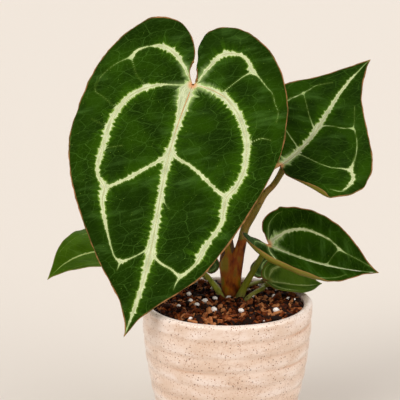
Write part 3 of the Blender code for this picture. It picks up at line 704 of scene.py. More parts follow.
def roll_margin(places, normals, roll):
    """Roll the outer ends of the rows up over the face, along part of the outline."""
    start, end, width, extra, turn = roll
    v = np.linspace(0, 1, len(places))
    share = np.clip(np.minimum(v - start, end - v) / (0.35 * (end - start)), 0, 1)
    for line, up, strength in zip(places, normals, share ** 2 * (3 - 2 * share)):
        steps = np.linalg.norm(np.diff(line, axis=0), axis=1)
        to_margin = np.append(np.cumsum(steps[::-1])[::-1], 0)
        taken = width * strength
        first = int(np.argmax(to_margin < taken))
        if taken < 0.0003 or first < 2:
            continue
        outward = unit(line[first - 1] - line[first - 2])
        origin = line[first - 1] + (to_margin[first - 1] - taken) * outward
        bend = math.radians(turn * strength)
        radius = taken * extra / bend
        for column in range(first, len(line)):
            angle = bend * (1 - to_margin[column] / taken)
            line[column] = origin + radius * (
                math.sin(angle) * outward + (1 - math.cos(angle)) * up[first - 1])


def add_piece(name, mesh, slot, *nodes):
    """Put a finished mesh in the scene as a piece of the plant, in place of its solids."""
    piece = bpy.data.objects.new(name, mesh)
    bpy.context.scene.collection.objects.link(piece)
    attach(piece, "root")
    if nodes:
        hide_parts(*nodes)
    return piece


def mesh_from(bm, name, materials):
    """Turn a bmesh into a smooth mesh with its materials."""
    mesh = bpy.data.meshes.new(name)
    bm.to_mesh(mesh)
    bm.free()
    mesh.shade_smooth()
    for material in materials:
        mesh.materials.append(material)
    return mesh


def write_attribute(mesh, name, values):
    """Keep a number or a vector for each vertex of a mesh, for its material to read."""
    values = np.asarray(values, np.float32)
    kind, key = ("FLOAT", "value") if values.ndim == 1 else ("FLOAT_VECTOR", "vector")
    mesh.attributes.new(name, kind, "POINT").data.foreach_set(key, values.ravel())


def settle(blank):
    """The mesh that an object comes to once its curve or modifiers are worked out. The object goes."""
    bpy.context.scene.collection.objects.link(blank)
    mesh = bpy.data.meshes.new_from_object(blank.evaluated_get(bpy.context.evaluated_depsgraph_get()))
    bpy.data.objects.remove(blank)
    return mesh


def rod_mesh(name, paths, resolution):
    """A mesh of round capped rods, each along its own points with its own radii."""
    curve = bpy.data.curves.new(name, "CURVE")
    curve.dimensions = "3D"
    curve.bevel_depth = 1
    curve.bevel_resolution = resolution
    curve.use_fill_caps = True
    for places, radii in paths:
        spline = curve.splines.new("POLY")
        spline.points.add(len(places) - 1)
        for point, place, radius in zip(spline.points, places, radii):
            point.co = (*place, 1)
            point.radius = radius
    return settle(bpy.data.objects.new(name, curve))


def welded_rod(name, path, radii, resolution):
    """One round rod as a bmesh, with its caps welded."""
    mesh = rod_mesh(name, [(path, radii)], resolution)
    bm = bmesh.new()
    bm.from_mesh(mesh)
    bpy.data.meshes.remove(mesh)
    bmesh.ops.remove_doubles(bm, verts=bm.verts, dist=1e-6)
    return bm


def nearest_points(verts, path):
    """Which point of a path is nearest to each vertex."""
    return [int(np.argmin(((path - np.array(vert.co)) ** 2).sum(1))) for vert in verts]


def margin_distance(blade, flats):
    """How far flat points lie from the blade's margin, in millimetres."""
    nearest = np.full(len(flats), 1e9)
    for half, chosen in ((blade.left, flats[:, 0] <= 0), (blade.right, flats[:, 0] >= 0)):
        rim = smooth_path(half.outline, 260) * [half.width, 1]
        distance = nearest_on_path(flats, np.column_stack([rim, np.zeros(len(rim))]))[0]
        nearest = np.where(chosen, np.minimum(nearest, distance), nearest)
    return nearest * blade.length / MM


def lay_grids(bm, blade):
    """Lay both halves of a blade in a bmesh as bent grids, and give their vertices' flat places."""
    span = blade.length / MM
    rows, columns = int(min(300, max(110, 1.75 * span))), int(min(62, max(26, 0.40 * span)))
    flats = []
    for half in (blade.left, blade.right):
        flat = scalloped(flat_half(half, rows, columns), half, blade.length)
        places = bend_half(blade, half, flat)
        if half.roll:
            roll_margin(places, blade_normals(blade, half, flat), half.roll)
        grid = bmesh.ops.create_grid(bm, x_segments=columns - 1, y_segments=rows - 1, size=0.5)["verts"]
        for vert in grid:
            column = round((vert.co.x + 0.5) * (columns - 1))
            row = round((vert.co.y + 0.5) * (rows - 1))
            vert.co = places[row, column]
            flats.append(flat[row, column])
        if half is blade.right:
            faces = {face for vert in grid for face in vert.link_faces}
            bmesh.ops.reverse_faces(bm, faces=list(faces))
    return np.array(flats)


def make_blade(name, upper_skin, under_skin):
    """A leaf blade: its waved, quilted upper face from two grids, and a ribbed underside below it."""
    blade = BLADES[name]
    bm = bmesh.new()
    thickness = bm.verts.layers.deform.new()
    flats = lay_grids(bm, blade)
    edge, middle, along, side, width = vein_field(blade, flats)
    to_margin = margin_distance(blade, flats)
    relief = blade_relief(blade, flats, edge) * np.clip(to_margin / 4, 0, 1)
    ripple = np.exp(-to_margin / 5) * np.sin(flats[:, 1] * blade.length / 0.0021)
    ripple *= MARGIN_RIPPLE * min(1, blade.length / LARGE_LEAF) ** 1.5
    rib = np.clip(width / 7, 0.08, 1) * np.exp(-(middle / (0.35 + width / 3)) ** 2)
    body = MARGIN_THICKNESS + (BLADE_THICKNESS - MARGIN_THICKNESS) * np.clip(to_margin / 3, 0, 1)
    full = BLADE_THICKNESS + MIDRIB_SHARE * blade.length
    wanted = body + (full - body) * rib * np.clip(1 - 0.75 * flats[:, 1], 0.2, 1)
    bm.normal_update()
    for vert, lift, depth in zip(bm.verts, relief + ripple, wanted):
        vert.co += vert.normal * lift
        vert[thickness][0] = min(1.0, depth / full)
    mesh = mesh_from(bm, f"blade_{name}", [upper_skin, under_skin])
    write_attribute(mesh, "vein_edge", edge)
    write_attribute(mesh, "vein_middle", middle)
    write_attribute(mesh, "vein_place", np.column_stack([along, side, width]))
    write_attribute(mesh, "leaf_place", np.column_stack([flats * blade.length / MM, to_margin]))
    piece = add_piece(f"{name}_blade", mesh, "velvet_leaf", f"blade_{name}")
    piece.vertex_groups.new(name="thickness")
    weld = piece.modifiers.new("midrib seam", "WELD")
    weld.merge_threshold = 0.00001
    shell = piece.modifiers.new("thickness", "SOLIDIFY")
    shell.thickness = full
    shell.offset = -1
    shell.vertex_group = "thickness"
    shell.material_offset = 1
    shell.use_quality_normals = True


def make_ribs(name, skin):
    """The fine raised ribs along the middles of a blade's veins, sunk half into its upper face.

    Each part of a rib knows how far it is from the stalk, for its red to fade by. Out in the lobes and
    on the left it counts as further, where the real red ends sooner, and on the smaller leaves too.
    """
    blade = BLADES[name]
    sooner = (BLADES["front"].length / blade.length) ** 4
    paths, stations = [], []
    for half, path in vein_paths(blade, False):
        points = path[:, :2]
        places = bend_half(blade, half, points)
        radii = np.clip(path[:, 2] * blade.length * RIB_SHARE, *RIB_RADII)
        lift = blade_relief(blade, points, vein_field(blade, points)[0]) - 0.35 * radii
        paths.append((places + blade_normals(blade, half, points) * lift[:, None], radii))
        for place, (s, t, width) in zip(places, path):
            further = 1.0 if s == 0 else 1.7 if s > 0 and t > -0.01 else 4.0
            away = math.hypot(s, t) * blade.length / MM * further * sooner
            stations.append((*place, away, width * blade.length / MM))
    mesh = rod_mesh(f"{name}_ribs", paths, 1)
    mesh.name = f"{name}_ribs"
    mesh.shade_smooth()
    mesh.materials.clear()
    mesh.materials.append(skin)
    stations = np.array(stations)
    pick = nearest_points(mesh.vertices, stations[:, :3])
    write_attribute(mesh, "from_stalk", stations[pick, 3])
    write_attribute(mesh, "band_width", stations[pick, 4])
    add_piece(f"{name}_ribs", mesh, "velvet_leaf")


def make_stalk(name, skin):
    """A leaf stalk that rises from the soil or the trunk and runs into its blade's underside.

    It meets the midrib a little way along, and further along where its last bend leans to the tip.
    """
    stalk, blade = STALKS[name], BLADES[name]
    forward = SEAT_RADII if stalk.lean < 0 else FORWARD_SEAT_RADII
    origin = np.array([[0, forward * stalk.top_radius / blade.length]])
    normal = unit(sum(blade_normals(blade, half, origin)[0] for half in (blade.left, blade.right)))
    thick = BLADE_THICKNESS + MIDRIB_SHARE * blade.length
    neck = NECK_RADII * stalk.top_radius
    seat = bend_half(blade, blade.right, origin)[0] - 0.45 * thick * normal
    below = seat - neck * normal
    bend = below - neck * normal + stalk.lean * neck * blade_axes(blade)[0]
    route = stalk.route + [bend, below, seat]
    length = sum(math.dist(start, end) for start, end in zip(route, route[1:]))
    path = smooth_path(route, round(length / STALK_STEP))
    radii = stalk.foot_radius + (stalk.top_radius - stalk.foot_radius) * np.linspace(0, 1, len(path))
    to_blade = np.linalg.norm(path - path[-1], axis=1)
    radii *= 1 + KNEE_SWELLING * np.exp(-((to_blade - 0.003) / (KNEE_LENGTH / 2)) ** 2)
    radii *= 1 + stalk.flare * np.exp(-np.maximum(path[:, 2] - FLARE_HEIGHT, 0) / FLARE_FADE)
    bm = welded_rod(name, path, radii, 4)
    bm.normal_update()
    for vert, pick in zip(bm.verts, nearest_points(bm.verts, path)):
        grain = noise.noise(vert.co / 0.0035 + Vector((0, 0, pick * 0.02)))
        vert.co += vert.normal * STALK_GRAIN * grain
    heights = [vert.co.z / MM for vert in bm.verts]
    mesh = mesh_from(bm, f"{name}_stalk", [skin])
    write_attribute(mesh, "height", heights)
    add_piece(f"{name}_stalk", mesh, "stalk_skin", f"stalk_{name}")


def make_trunk(skin):
    """The trunk: two sheathed branches fused below their fork, with sheath edges and growth scars."""
    trunk = bmesh.new()
    for points in BRANCHES.values():
        path = smooth_path([(*place, radius) for place, radius in points], 60)
        branch = mesh_from(welded_rod("branch", path[:, :3], path[:, 3], 6), "branch", [])
        trunk.from_mesh(branch)
        bpy.data.meshes.remove(branch)
    blank = bpy.data.objects.new("trunk_blank", mesh_from(trunk, "trunk_blank", []))
    fuse = blank.modifiers.new("fuse", "REMESH")
    fuse.mode = "VOXEL"
    fuse.voxel_size = VOXEL
    soften = blank.modifiers.new("soften", "SMOOTH")
    soften.iterations = 6
    soften.factor = 0.5
    mesh = settle(blank)
    bm = bmesh.new()
    bm.from_mesh(mesh)
    bpy.data.meshes.remove(mesh)
    bm.normal_update()
    marks = []
    for vert in bm.verts:
        x, y, z = vert.co
        turn = math.atan2(y - TRUNK_MIDDLE[1], x - TRUNK_MIDDLE[0])
        scar = 0.0
        for height, slant in GROWTH_SCARS:
            gap = z - height - slant * math.cos(turn - 0.7)
            scar = max(scar, math.exp(-(gap / SCAR_WIDTH) ** 2))
            vert.co += vert.normal * (SCAR_STEP / (1 + math.exp(gap / 0.0004)) - SCAR_STEP / 2)
        streak = noise.noise(Vector((math.cos(turn) * 2.6, math.sin(turn) * 2.6, z / 0.02)))
        vert.co += vert.normal * CORK_STREAK * streak
        marks.append(scar)
    mesh = mesh_from(bm, "trunk", [skin])
    write_attribute(mesh, "scar", marks)
    add_piece("forked_trunk", mesh, "trunk_skin", "trunk")


def make_sheaths(skin):
    """Dry papery sheath scales that wrap the branches and end in a point at the fork."""
    bm = bmesh.new()
    tips = []
    scales = (
        ((0.0034, 0.0147, 0.1275), (0.0036, 0.0136, 0.1462), 0.0035, -90),
        ((-0.0010, 0.0160, 0.1225), (-0.0032, 0.0128, 0.1385), 0.0052, -87.42),
    )
    for base, tip, radius, facing in scales:
        for vert in bmesh.ops.create_grid(bm, x_segments=10, y_segments=13, size=0.5)["verts"]:
            u, v = vert.co.x * 2, vert.co.y + 0.5
            angle = math.radians(facing) + 1.15 * (1 - v) ** 0.7 * u
            reach = radius * (1 - 0.35 * v)
            tips.append(v)
            vert.co = Vector(base).lerp(Vector(tip), v) + Vector(
                (math.cos(angle) * reach, math.sin(angle) * reach + radius * 0.5, 0))
    mesh = mesh_from(bm, "sheaths", [skin])
    write_attribute(mesh, "to_tip", tips)
    shell = add_piece("dry_sheaths", mesh, "trunk_skin").modifiers.new("paper", "SOLIDIFY")
    shell.thickness = 0.0003


def pot_radius(height):
    """The outside radius of the pot's wall without its rings."""
    return POT_RIM_RADIUS - POT_TAPER * (POT_HEIGHT - height) ** 2


def round_noise(angle, scale, row):
    """Slow noise that closes on itself round the pot."""
    return noise.noise(Vector((math.cos(angle) * scale, math.sin(angle) * scale, row)))


def ring_valley(depth, angle):
    """How deep into a throwing ring's valley a point of the wall lies, from 0 to 1."""
    valley = 0.0
    for index, ring in enumerate(RING_DEPTHS):
        gap = depth - ring - RING_SWAY * round_noise(angle, 1.3, index * 3.7)
        strength = 0.72 + 0.5 * round_noise(angle, 1.1, index * 5.3 + 40)
        reach = RING_REACH_UP if gap < 0 else RING_REACH_DOWN
        valley = max(valley, strength * math.exp(-(gap / reach) ** 2))
    return valley


def spin_profile(profile, steps):
    """A closed bmesh spun from (radius, height) points round the pot's axis."""
    bm = bmesh.new()
    verts = [bm.verts.new((radius, 0, height)) for radius, height in profile]
    edges = [bm.edges.new(pair) for pair in zip(verts, verts[1:])]
    bmesh.ops.spin(
        bm, geom=verts + edges, cent=(0, 0, 0), axis=(0, 0, 1), angle=2 * math.pi, steps=steps,
        use_merge=True,
    )
    bmesh.ops.remove_doubles(bm, verts=bm.verts, dist=1e-6)
    bmesh.ops.recalc_face_normals(bm, faces=bm.faces)
    return bm


def make_pot(glaze):
    """The pot: a profile spun round, with uneven throwing rings pressed into the wall."""
    inner = [(pot_radius(height) - POT_WALL, height)
             for height in np.linspace(POT_FLOOR, POT_HEIGHT - 0.003, 24)]
    lip = []
    for angle in np.radians(np.linspace(178, 8, 15)):
        radius = POT_RIM_RADIUS + POT_WALL / 2 * (math.cos(angle) - 1)
        lip.append((radius, POT_HEIGHT + POT_LIP_HEIGHT * (math.sin(angle) - 1)))
    depths = np.linspace(POT_LIP_HEIGHT + 0.0006, POT_HEIGHT - POT_FOOT_ROUND - 0.0004, 150)
    outer = [(pot_radius(POT_HEIGHT - depth), POT_HEIGHT - depth) for depth in depths]
    foot = [(pot_radius(0) + POT_FOOT_ROUND * (math.cos(angle) - 1), POT_FOOT_ROUND * (1 - math.sin(angle)))
            for angle in np.radians([0, 25, 50, 75, 90])]
    profile = [(0, POT_FLOOR), (0.025, POT_FLOOR)] + inner + lip + outer + foot + [(0.02, 0), (0, 0)]
    bm = spin_profile(profile, POT_STEPS)
    valleys = []
    for vert in bm.verts:
        x, y, z = vert.co
        radius = math.hypot(x, y)
        valley = 0.0
        if radius > pot_radius(z) - 0.0012 and 0.003 < z < POT_HEIGHT - 0.0012:
            angle = math.atan2(y, x)
            valley = ring_valley(POT_HEIGHT - z, angle)
            ease = min(1.0, (POT_HEIGHT - z) / 0.006, z / 0.006)
            inward = ease * (RING_DEPTH * valley + WALL_SWELL * round_noise(angle, 2, z / 0.012))
            vert.co.x -= x / radius * inward
            vert.co.y -= y / radius * inward
        valleys.append(valley)
    mesh = mesh_from(bm, "pot", [glaze])
    write_attribute(mesh, "valley", valleys)
    add_piece("stoneware_pot", mesh, "stoneware", "pot")


def soil_height(x, y):
    """The height of the mix's surface between its chips."""
    mound = SOIL_MOUND * (1 - math.hypot(x, y) / POT_RIM_RADIUS)
    return SOIL_HEIGHT + mound + SOIL_UNEVEN * noise.noise(Vector((x, y, 0)) / 0.009)


def make_soil(mix):
    """The dark fines between the chips: a plug with a crumbly top."""
    edge = pot_radius(SOIL_HEIGHT) - POT_WALL - 0.0001
    top = [(edge * share, SOIL_HEIGHT) for share in np.linspace(0, 1, 70)]
    wall = [(pot_radius(height) - POT_WALL - 0.0003, height)
            for height in np.linspace(0.095, POT_FLOOR + 0.001, 12)]
    bm = spin_profile(top + wall + [(0, POT_FLOOR + 0.0005)], SOIL_STEPS)
    for vert in bm.verts:
        if vert.co.z > SOIL_HEIGHT - 1e-6:
            crumb = noise.fractal(Vector((vert.co.x, vert.co.y, 0)) / 0.0028, 0.8, 2.2, 4)
            vert.co.z = soil_height(vert.co.x, vert.co.y) + SOIL_CRUMBS * crumb
    add_piece("soil_fines", mesh_from(bm, "soil_fines", [mix]), "potting_mix", "soil")


def scatter(count, spacing, edge_gap, draw):
    """Seeded places on the mix, clear of each other, the pot's wall and the stems."""
    reach = pot_radius(SOIL_HEIGHT) - POT_WALL - edge_gap
    places = np.empty((0, 2))
    for _ in range(25 * count):
        if len(places) == count:
            break
        radius = reach * math.sqrt(draw.random())
        angle = draw.uniform(0, 2 * math.pi)
        place = np.array([radius * math.cos(angle), radius * math.sin(angle)])
        if len(places) and ((places - place) ** 2).sum(1).min() < spacing ** 2:
            continue
        if all(math.dist(place, foot[:2]) > foot[2] + STEM_GAP for foot in STEM_FEET.values()):
            places = np.vstack([places, place])
    return places


def add_chip(heap, size, place, turn, draw, bevel):
    """Add a broken piece of bark to the heap: a slab with knocked corners and uneven sides.

    It is shaped in a mesh of its own first. Gives how many vertices it has.
    """
    bm = bmesh.new()
    verts = bmesh.ops.create_cube(bm, size=1)["verts"]
    bmesh.ops.scale(bm, verts=verts, vec=size)
    for vert in verts:
        vert.co.x += size[0] * draw.uniform(-0.16, 0.16)
        vert.co.y += size[1] * draw.uniform(-0.20, 0.20)
        vert.co.z += size[2] * draw.uniform(-0.22, 0.22)
    if bevel:
        bmesh.ops.bevel(
            bm, geom=list(bm.edges), offset=min(size) * 0.2, offset_type="OFFSET", segments=1,
            profile=0.5, affect="EDGES", material=-1, clamp_overlap=True,
        )
    bmesh.ops.rotate(bm, verts=bm.verts, cent=(0, 0, 0), matrix=Euler(turn).to_matrix())
    bmesh.ops.translate(bm, verts=bm.verts, vec=place)
    chip = bpy.data.meshes.new("chip")
    bm.to_mesh(chip)
    bm.free()
    heap.from_mesh(chip)
    count = len(chip.vertices)
    bpy.data.meshes.remove(chip)
    return count


def make_chips(bark):
    """Bark chips in loose layers over the mix, and small crumbs between them."""
    draw = random.Random(11)
    bm = bmesh.new()
    tones = []
    for x, y in scatter(CHIP_COUNT, 0.0028, 0.0036, draw):
        length = draw.triangular(0.0028, 0.0088, 0.0044)
        size = (length, length * draw.uniform(0.40, 0.75), draw.uniform(0.0012, 0.0028))
        turn = (draw.gauss(0, 0.55), draw.gauss(0, 0.55), draw.uniform(0, 6.28))
        height = soil_height(x, y) + draw.uniform(-0.0008, 0.0021)
        shade = draw.random() ** 1.7
        tones += [shade] * add_chip(bm, size, (x, y, height), turn, draw, True)
    for x, y in scatter(CRUMB_COUNT, 0.0017, 0.0014, draw):
        length = draw.uniform(0.0012, 0.0036)
        size = (length, length * draw.uniform(0.3, 0.7), length * draw.uniform(0.2, 0.5))
        turn = tuple(draw.uniform(-1.2, 1.2) for _ in range(3))
        height = soil_height(x, y) + draw.uniform(-0.0002, 0.0024)
        shade = draw.random() ** 1.7
        tones += [shade] * add_chip(bm, size, (x, y, height), turn, draw, False)
    mesh = mesh_from(bm, "bark_chips", [bark])
    write_attribute(mesh, "tone", tones)
    mesh.set_sharp_from_angle(angle=math.radians(28))
    add_piece("bark_chips", mesh, "potting_mix")


def make_perlite(stone):
    """White perlite grains, each a dented ball."""
    draw = random.Random(5)
    bm = bmesh.new()
    grains = [(x, y, draw.triangular(0.9, 2.2, 1.4)) for x, y in scatter(GRAIN_COUNT, 0.0062, 0.0030, draw)]
    grains = [grain for grain in grains if grain[1] > 0 or abs(grain[0]) > 0.049]
    for x, y, radius in list(FRONT_GRAINS) + grains:
        radius *= GRAIN_SWELL * MM
        made = bmesh.ops.create_icosphere(bm, subdivisions=2, radius=radius)["verts"]
        seed = Vector((draw.uniform(0, 50), 0, 0))
        squash = (draw.uniform(0.8, 1.1), draw.uniform(0.75, 1.0), draw.uniform(0.7, 0.95))
        bmesh.ops.scale(bm, verts=made, vec=squash)
        for vert in made:
            vert.co *= 1 + 0.28 * noise.noise(vert.co / radius * 1.3 + seed)
        lift = soil_height(x, y) + GRAIN_LIFT + draw.uniform(-0.0004, 0.0006)
        bmesh.ops.translate(bm, verts=made, vec=(x, y, lift))
    add_piece("perlite_grains", mesh_from(bm, "perlite_grains", [stone]), "potting_mix")


def add_node(tree, kind, *inputs, output=None, stops=(), **values):
    """Add a shader node and give back an output of it: the named one, or the first that it uses.

    The inputs that it uses are filled in order, each with a number, a vector, a #rrggbb colour or another
    node's output. A value whose name has a capital goes to the input of that name, and any other is a
    setting. A ramp has its stops.
    """
    node = tree.nodes.new(f"ShaderNode{kind}")
    for name, value in values.items():
        if name[0].islower():
            setattr(node, name, value)
    for index, (position, code) in enumerate(stops):
        elements = node.color_ramp.elements
        element = elements[index] if index < 2 else elements.new(position)
        element.position = position
        element.color = linear(code)
    filled = list(zip([socket for socket in node.inputs if socket.enabled], inputs))
    filled += [(node.inputs[name.replace("_", " ")], values[name]) for name in values if name[0].isupper()]
    for socket, value in filled:
        if isinstance(value, bpy.types.NodeSocket):
            tree.links.new(value, socket)
        else:
            socket.default_value = linear(value) if isinstance(value, str) else value
    if output:
        return node.outputs[output]
    return next((socket for socket in node.outputs if socket.enabled), None)


def new_finish(name):
    """A new bare material, and the function that adds nodes to it."""
    material = bpy.data.materials.new(name)
    material.use_nodes = True
    material.node_tree.nodes.clear()
    return material, partial(add_node, material.node_tree)


def speck_mask(add, place, scale, bare, inner, outer, strength):
    """Round specks, at most one in each cell of the pattern. The bare is the share of cells without one."""
    cells = add("TexVoronoi", Vector=place, Scale=scale)
    chance = add("SeparateXYZ", cells.node.outputs["Color"])
    dot = add("MapRange", cells, inner, outer, strength, 0.0, **EASED)
    return add("Math", dot, add("Math", chance, bare, operation="GREATER_THAN"), **TIMES)


def leaf_marks(add):
    """The marks that both faces of a blade share: distance outside the toothed bands, and the vein net.

    All are in millimetres of the flat blade. The bands' edges are sawtoothed where the finest veins leave
    them. The net's lines are 0.1 mm on a real leaf, and are drawn 0.4 mm wide to show.
    """
    edge = add("Attribute", attribute_name="vein_edge", output="Fac")
    place = add("Attribute", attribute_name="vein_place", output="Vector")
    leaf = add("Attribute", attribute_name="leaf_place", output="Vector")
    along, side, width = add("SeparateXYZ", place).node.outputs
    right, down, to_margin = add("SeparateXYZ", leaf).node.outputs

    # Teeth, each in a cell of its own along the band, with other cells on its other side
    tooth = 0.0
    for spacing, shift, tallest in ((3.5, 57.3, 0.90), (1.5, 31.7, 0.40)):
        row = add("Math", side, shift, add("Math", along, spacing, operation="DIVIDE"), **TIMES_PLUS)
        cells = add("TexVoronoi", W=row, Scale=1.0, voronoi_dimensions="1D")
        spike = add("MapRange", cells, 0.0, 0.46, 1.0, 0.0)
        chance = add("SeparateXYZ", cells.node.outputs["Color"])
        height = add("Math", add("Math", chance, 1.5, operation="POWER"), tallest, **TIMES)
        tooth = add("Math", spike, height, tooth, **TIMES_PLUS)
    reach = add("MapRange", width, 0.2, 3.2, 0.10, 2.0, **EASED)
    tooth = add("Math", tooth, reach, **TIMES)
    rough = add("TexNoise", Vector=leaf, Scale=0.32, Detail=3.0)
    wobble = add("Math", add("Math", rough, 0.5, operation="SUBTRACT"), reach, **TIMES)
    outside = add("Math", add("Math", edge, tooth, operation="SUBTRACT"), wobble, operation="SUBTRACT")
    glow = add("Math", tooth, -2.2, edge, **TIMES_PLUS)

    # The net's cells lie 13 mm apart across the leaf and 8.5 mm along it, swept towards the tip
    across = add("Math", right, operation="ABSOLUTE")
    hand = add("Math", add("Math", right, operation="SIGN"), 40.0, **TIMES)
    swept = add("Math", right, 0.5, down, **TIMES_PLUS)
    lateral = add("Math", across, 1 / 13, hand, **TIMES_PLUS)
    even = add("CombineXYZ", lateral, add("Math", swept, 8.5, operation="DIVIDE"))
    warp = add("TexNoise", Vector=leaf, Scale=0.09, Detail=3.0, output="Color")
    bent = add("VectorMath", warp, (0.5, 0.5, 0.5), even, **TIMES_PLUS)
    nets = []
    for scale, low, high in ((1.0, 0.004, 0.030), (3.3, 0.01, 0.09)):
        gap = add(
            "TexVoronoi", Vector=bent, Scale=scale, feature="DISTANCE_TO_EDGE", voronoi_dimensions="2D",
        )
        nets.append(add("MapRange", gap, low, high, 1.0, 0.0, **EASED))
    return SimpleNamespace(
        outside=outside, glow=glow, net=nets[0], fine_net=nets[1], along=along, width=width,
        leaf=leaf, right=right, down=down, to_margin=to_margin, swept=swept, lateral=lateral,
    )


def leaf_finish(name, skin, sheen, roughness):
    """The upper skin of a blade: dark velvet with silver bands that glow green at their edges.

    The real silver is combed into strands of about 0.1 mm, and is drawn with coarser ones to show.
    """
    material, add = new_finish(name)
    marks, colours = leaf_marks(add), SKINS[skin]
    leaf, width = marks.leaf, marks.width

    # Dark field, with painted shade that darkens it towards the tip and the lobes, and painted sheen in
    # brushed streaks
    mottle = add("TexNoise", Vector=leaf, Scale=0.05, Detail=4.0)
    mottle = add("MapRange", mottle, 0.35, 0.68, **EASED)
    colour = add("Mix", mottle, colours["deep"], colours["field"], **IN_COLOUR)
    # Painted shade: the field turns to the deep colour towards the tip and out in the lobes
    to_tip = add("MapRange", marks.down, 62.0, 100.0, 0.0, 0.8, **EASED)
    to_lobes = add("MapRange", marks.down, -6.0, -26.0, 0.0, 0.75, **EASED)
    painted_shade = add("Math", to_tip, to_lobes, **LARGER)
    # Painted sheen: lighter streaks swept across the blade, in patches, for light caught on its quilting
    swept = add("Math", marks.swept, 0.15, **TIMES)
    lateral = add("Math", marks.lateral, 0.42, **TIMES)
    sheen_brush = add("CombineXYZ", swept, lateral)
    streaks = add("TexNoise", Vector=sheen_brush, Scale=1.0, Detail=4.0, Roughness=0.6)
    streaks = add("MapRange", streaks, 0.48, 0.80, 0.0, 0.70, **EASED)
    patches = add("TexNoise", Vector=leaf, Scale=0.022, Detail=1.0)
    light = add("Math", streaks, add("MapRange", patches, 0.44, 0.58, **EASED), **TIMES)

    # Green light in the skin round the bands: far and faint in rays, near and strong, and most at the stalk
    strength = add("MapRange", width, 0.3, 3.6, 0.12, 1.0, **EASED)
    rays = add("Math", marks.along, 1.6, operation="DIVIDE")
    rays = add("TexNoise", W=rays, Scale=1.0, Detail=2.0, noise_dimensions="1D")
    rays = add("MapRange", rays, 0.3, 0.7, 0.20, 0.55, **EASED)
    far = add("MapRange", marks.glow, -1.0, 7.5, 1.0, 0.0, **EASED)
    far = add("Math", add("Math", far, rays, **TIMES), strength, **TIMES)
    near = add("MapRange", marks.outside, 0.0, 1.2, 0.66, 0.0, **EASED)
    near = add("Math", near, strength, **TIMES)
    spot = add("CombineXYZ", marks.right, marks.down)
    from_stalk = add("VectorMath", spot, operation="LENGTH")
    bloom = add("MapRange", from_stalk, 4.0, 22.0, 1.0, 0.0, **EASED)
    bloom = add("Math", bloom, add("MapRange", marks.glow, -0.5, 3.2, 0.95, 0.0, **EASED), **TIMES)
    bloom = add("Math", bloom, add("MapRange", width, 0.2, 2.4, 0.2, 1.0, **EASED), **TIMES)

    # The vein net, which fades in patches
    net = add("Math", marks.net, 0.50, **TIMES)
    net = add("Math", net, add("Math", marks.fine_net, 0.18, **TIMES), **LARGER)
    net = add("Math", net, add("MapRange", patches, 0.35, 0.7, 0.75, 0.25, **EASED), **TIMES)
    dots = speck_mask(add, leaf, 0.42, 0.72, 0.05, 0.14, 0.55)
    # Here the deep colour is painted shade and the streak colour painted sheen
    for mask, part in (
        (painted_shade, "deep"), (light, "streak"), (far, "glow"), (net, "net"), (near, "halo"), (bloom, "bloom"),
        (dots, "halo"),
    ):
        colour = add("Mix", mask, colour, colours[part], **IN_COLOUR)

    # Silver bands in long strands, green where they are narrow
    middle = add("Attribute", attribute_name="vein_middle", output="Fac")
    middle = add("Math", middle, 1.7, **TIMES)
    strands = add("CombineXYZ", add("Math", marks.along, 8.0, operation="DIVIDE"), middle)
    strands = add("TexNoise", Vector=strands, Scale=1.0, Detail=2.0)
    strands = add("MapRange", strands, 0.36, 0.64, 0.0, 0.85, **EASED)
    silver = add("Mix", strands, colours["band"], colours["shine"], **IN_COLOUR)
    edge = add("MapRange", marks.outside, -1.1, 0.0, 0.0, 0.45, **EASED)
    silver = add("Mix", edge, silver, "#c6d68c", **IN_COLOUR)
    silver = add("Mix", add("MapRange", width, 0.3, 1.2, **EASED), colours["bloom"], silver, **IN_COLOUR)
    band = add("MapRange", marks.outside, -0.3, 0.15, 1.0, 0.0, **EASED)
    band = add("Math", band, add("MapRange", width, 0.04, 0.7, 0.28, 1.0, **EASED), **TIMES)

    # An uneven rim, redder near the stalk, and the stalk's own colour where it joins
    red = add("MapRange", from_stalk, 8.0, 30.0, **EASED)
    red = add("Mix", red, "#9a4c38", colours["rim"], **IN_COLOUR)
    uneven = add("TexNoise", Vector=leaf, Scale=0.16, Detail=2.0)
    uneven = add("MapRange", uneven, 0.35, 0.65, 0.30, 0.85, **EASED)
    rim = add("Math", add("MapRange", marks.to_margin, 0.25, 0.95, 1.0, 0.0, **EASED), uneven, **TIMES)
    joint = add("MapRange", from_stalk, 1.0, 4.5, 0.85, 0.0, **EASED)
    for mask, over in ((band, silver), (rim, red), (joint, colours["stalk"])):
        colour = add("Mix", mask, colour, over, **IN_COLOUR)

    height = add("TexNoise", Vector=leaf, Scale=2.2, Detail=2.0)
    height = add("Math", height, 0.35, **TIMES)
    height = add("Math", marks.net, -0.7, height, **TIMES_PLUS)
    height = add("Math", marks.fine_net, -0.3, height, **TIMES_PLUS)
    shader = add(
        "BsdfPrincipled", Base_Color=colour, Metallic=0.0, Roughness=roughness, IOR=1.42,
        Specular_IOR_Level=0.03, Sheen_Weight=sheen, Sheen_Roughness=0.4, Sheen_Tint="#b9d070",
        Normal=add("Bump", Strength=0.5, Distance=0.0003, Height=height),
    )
    add("OutputMaterial", shader)
    return material


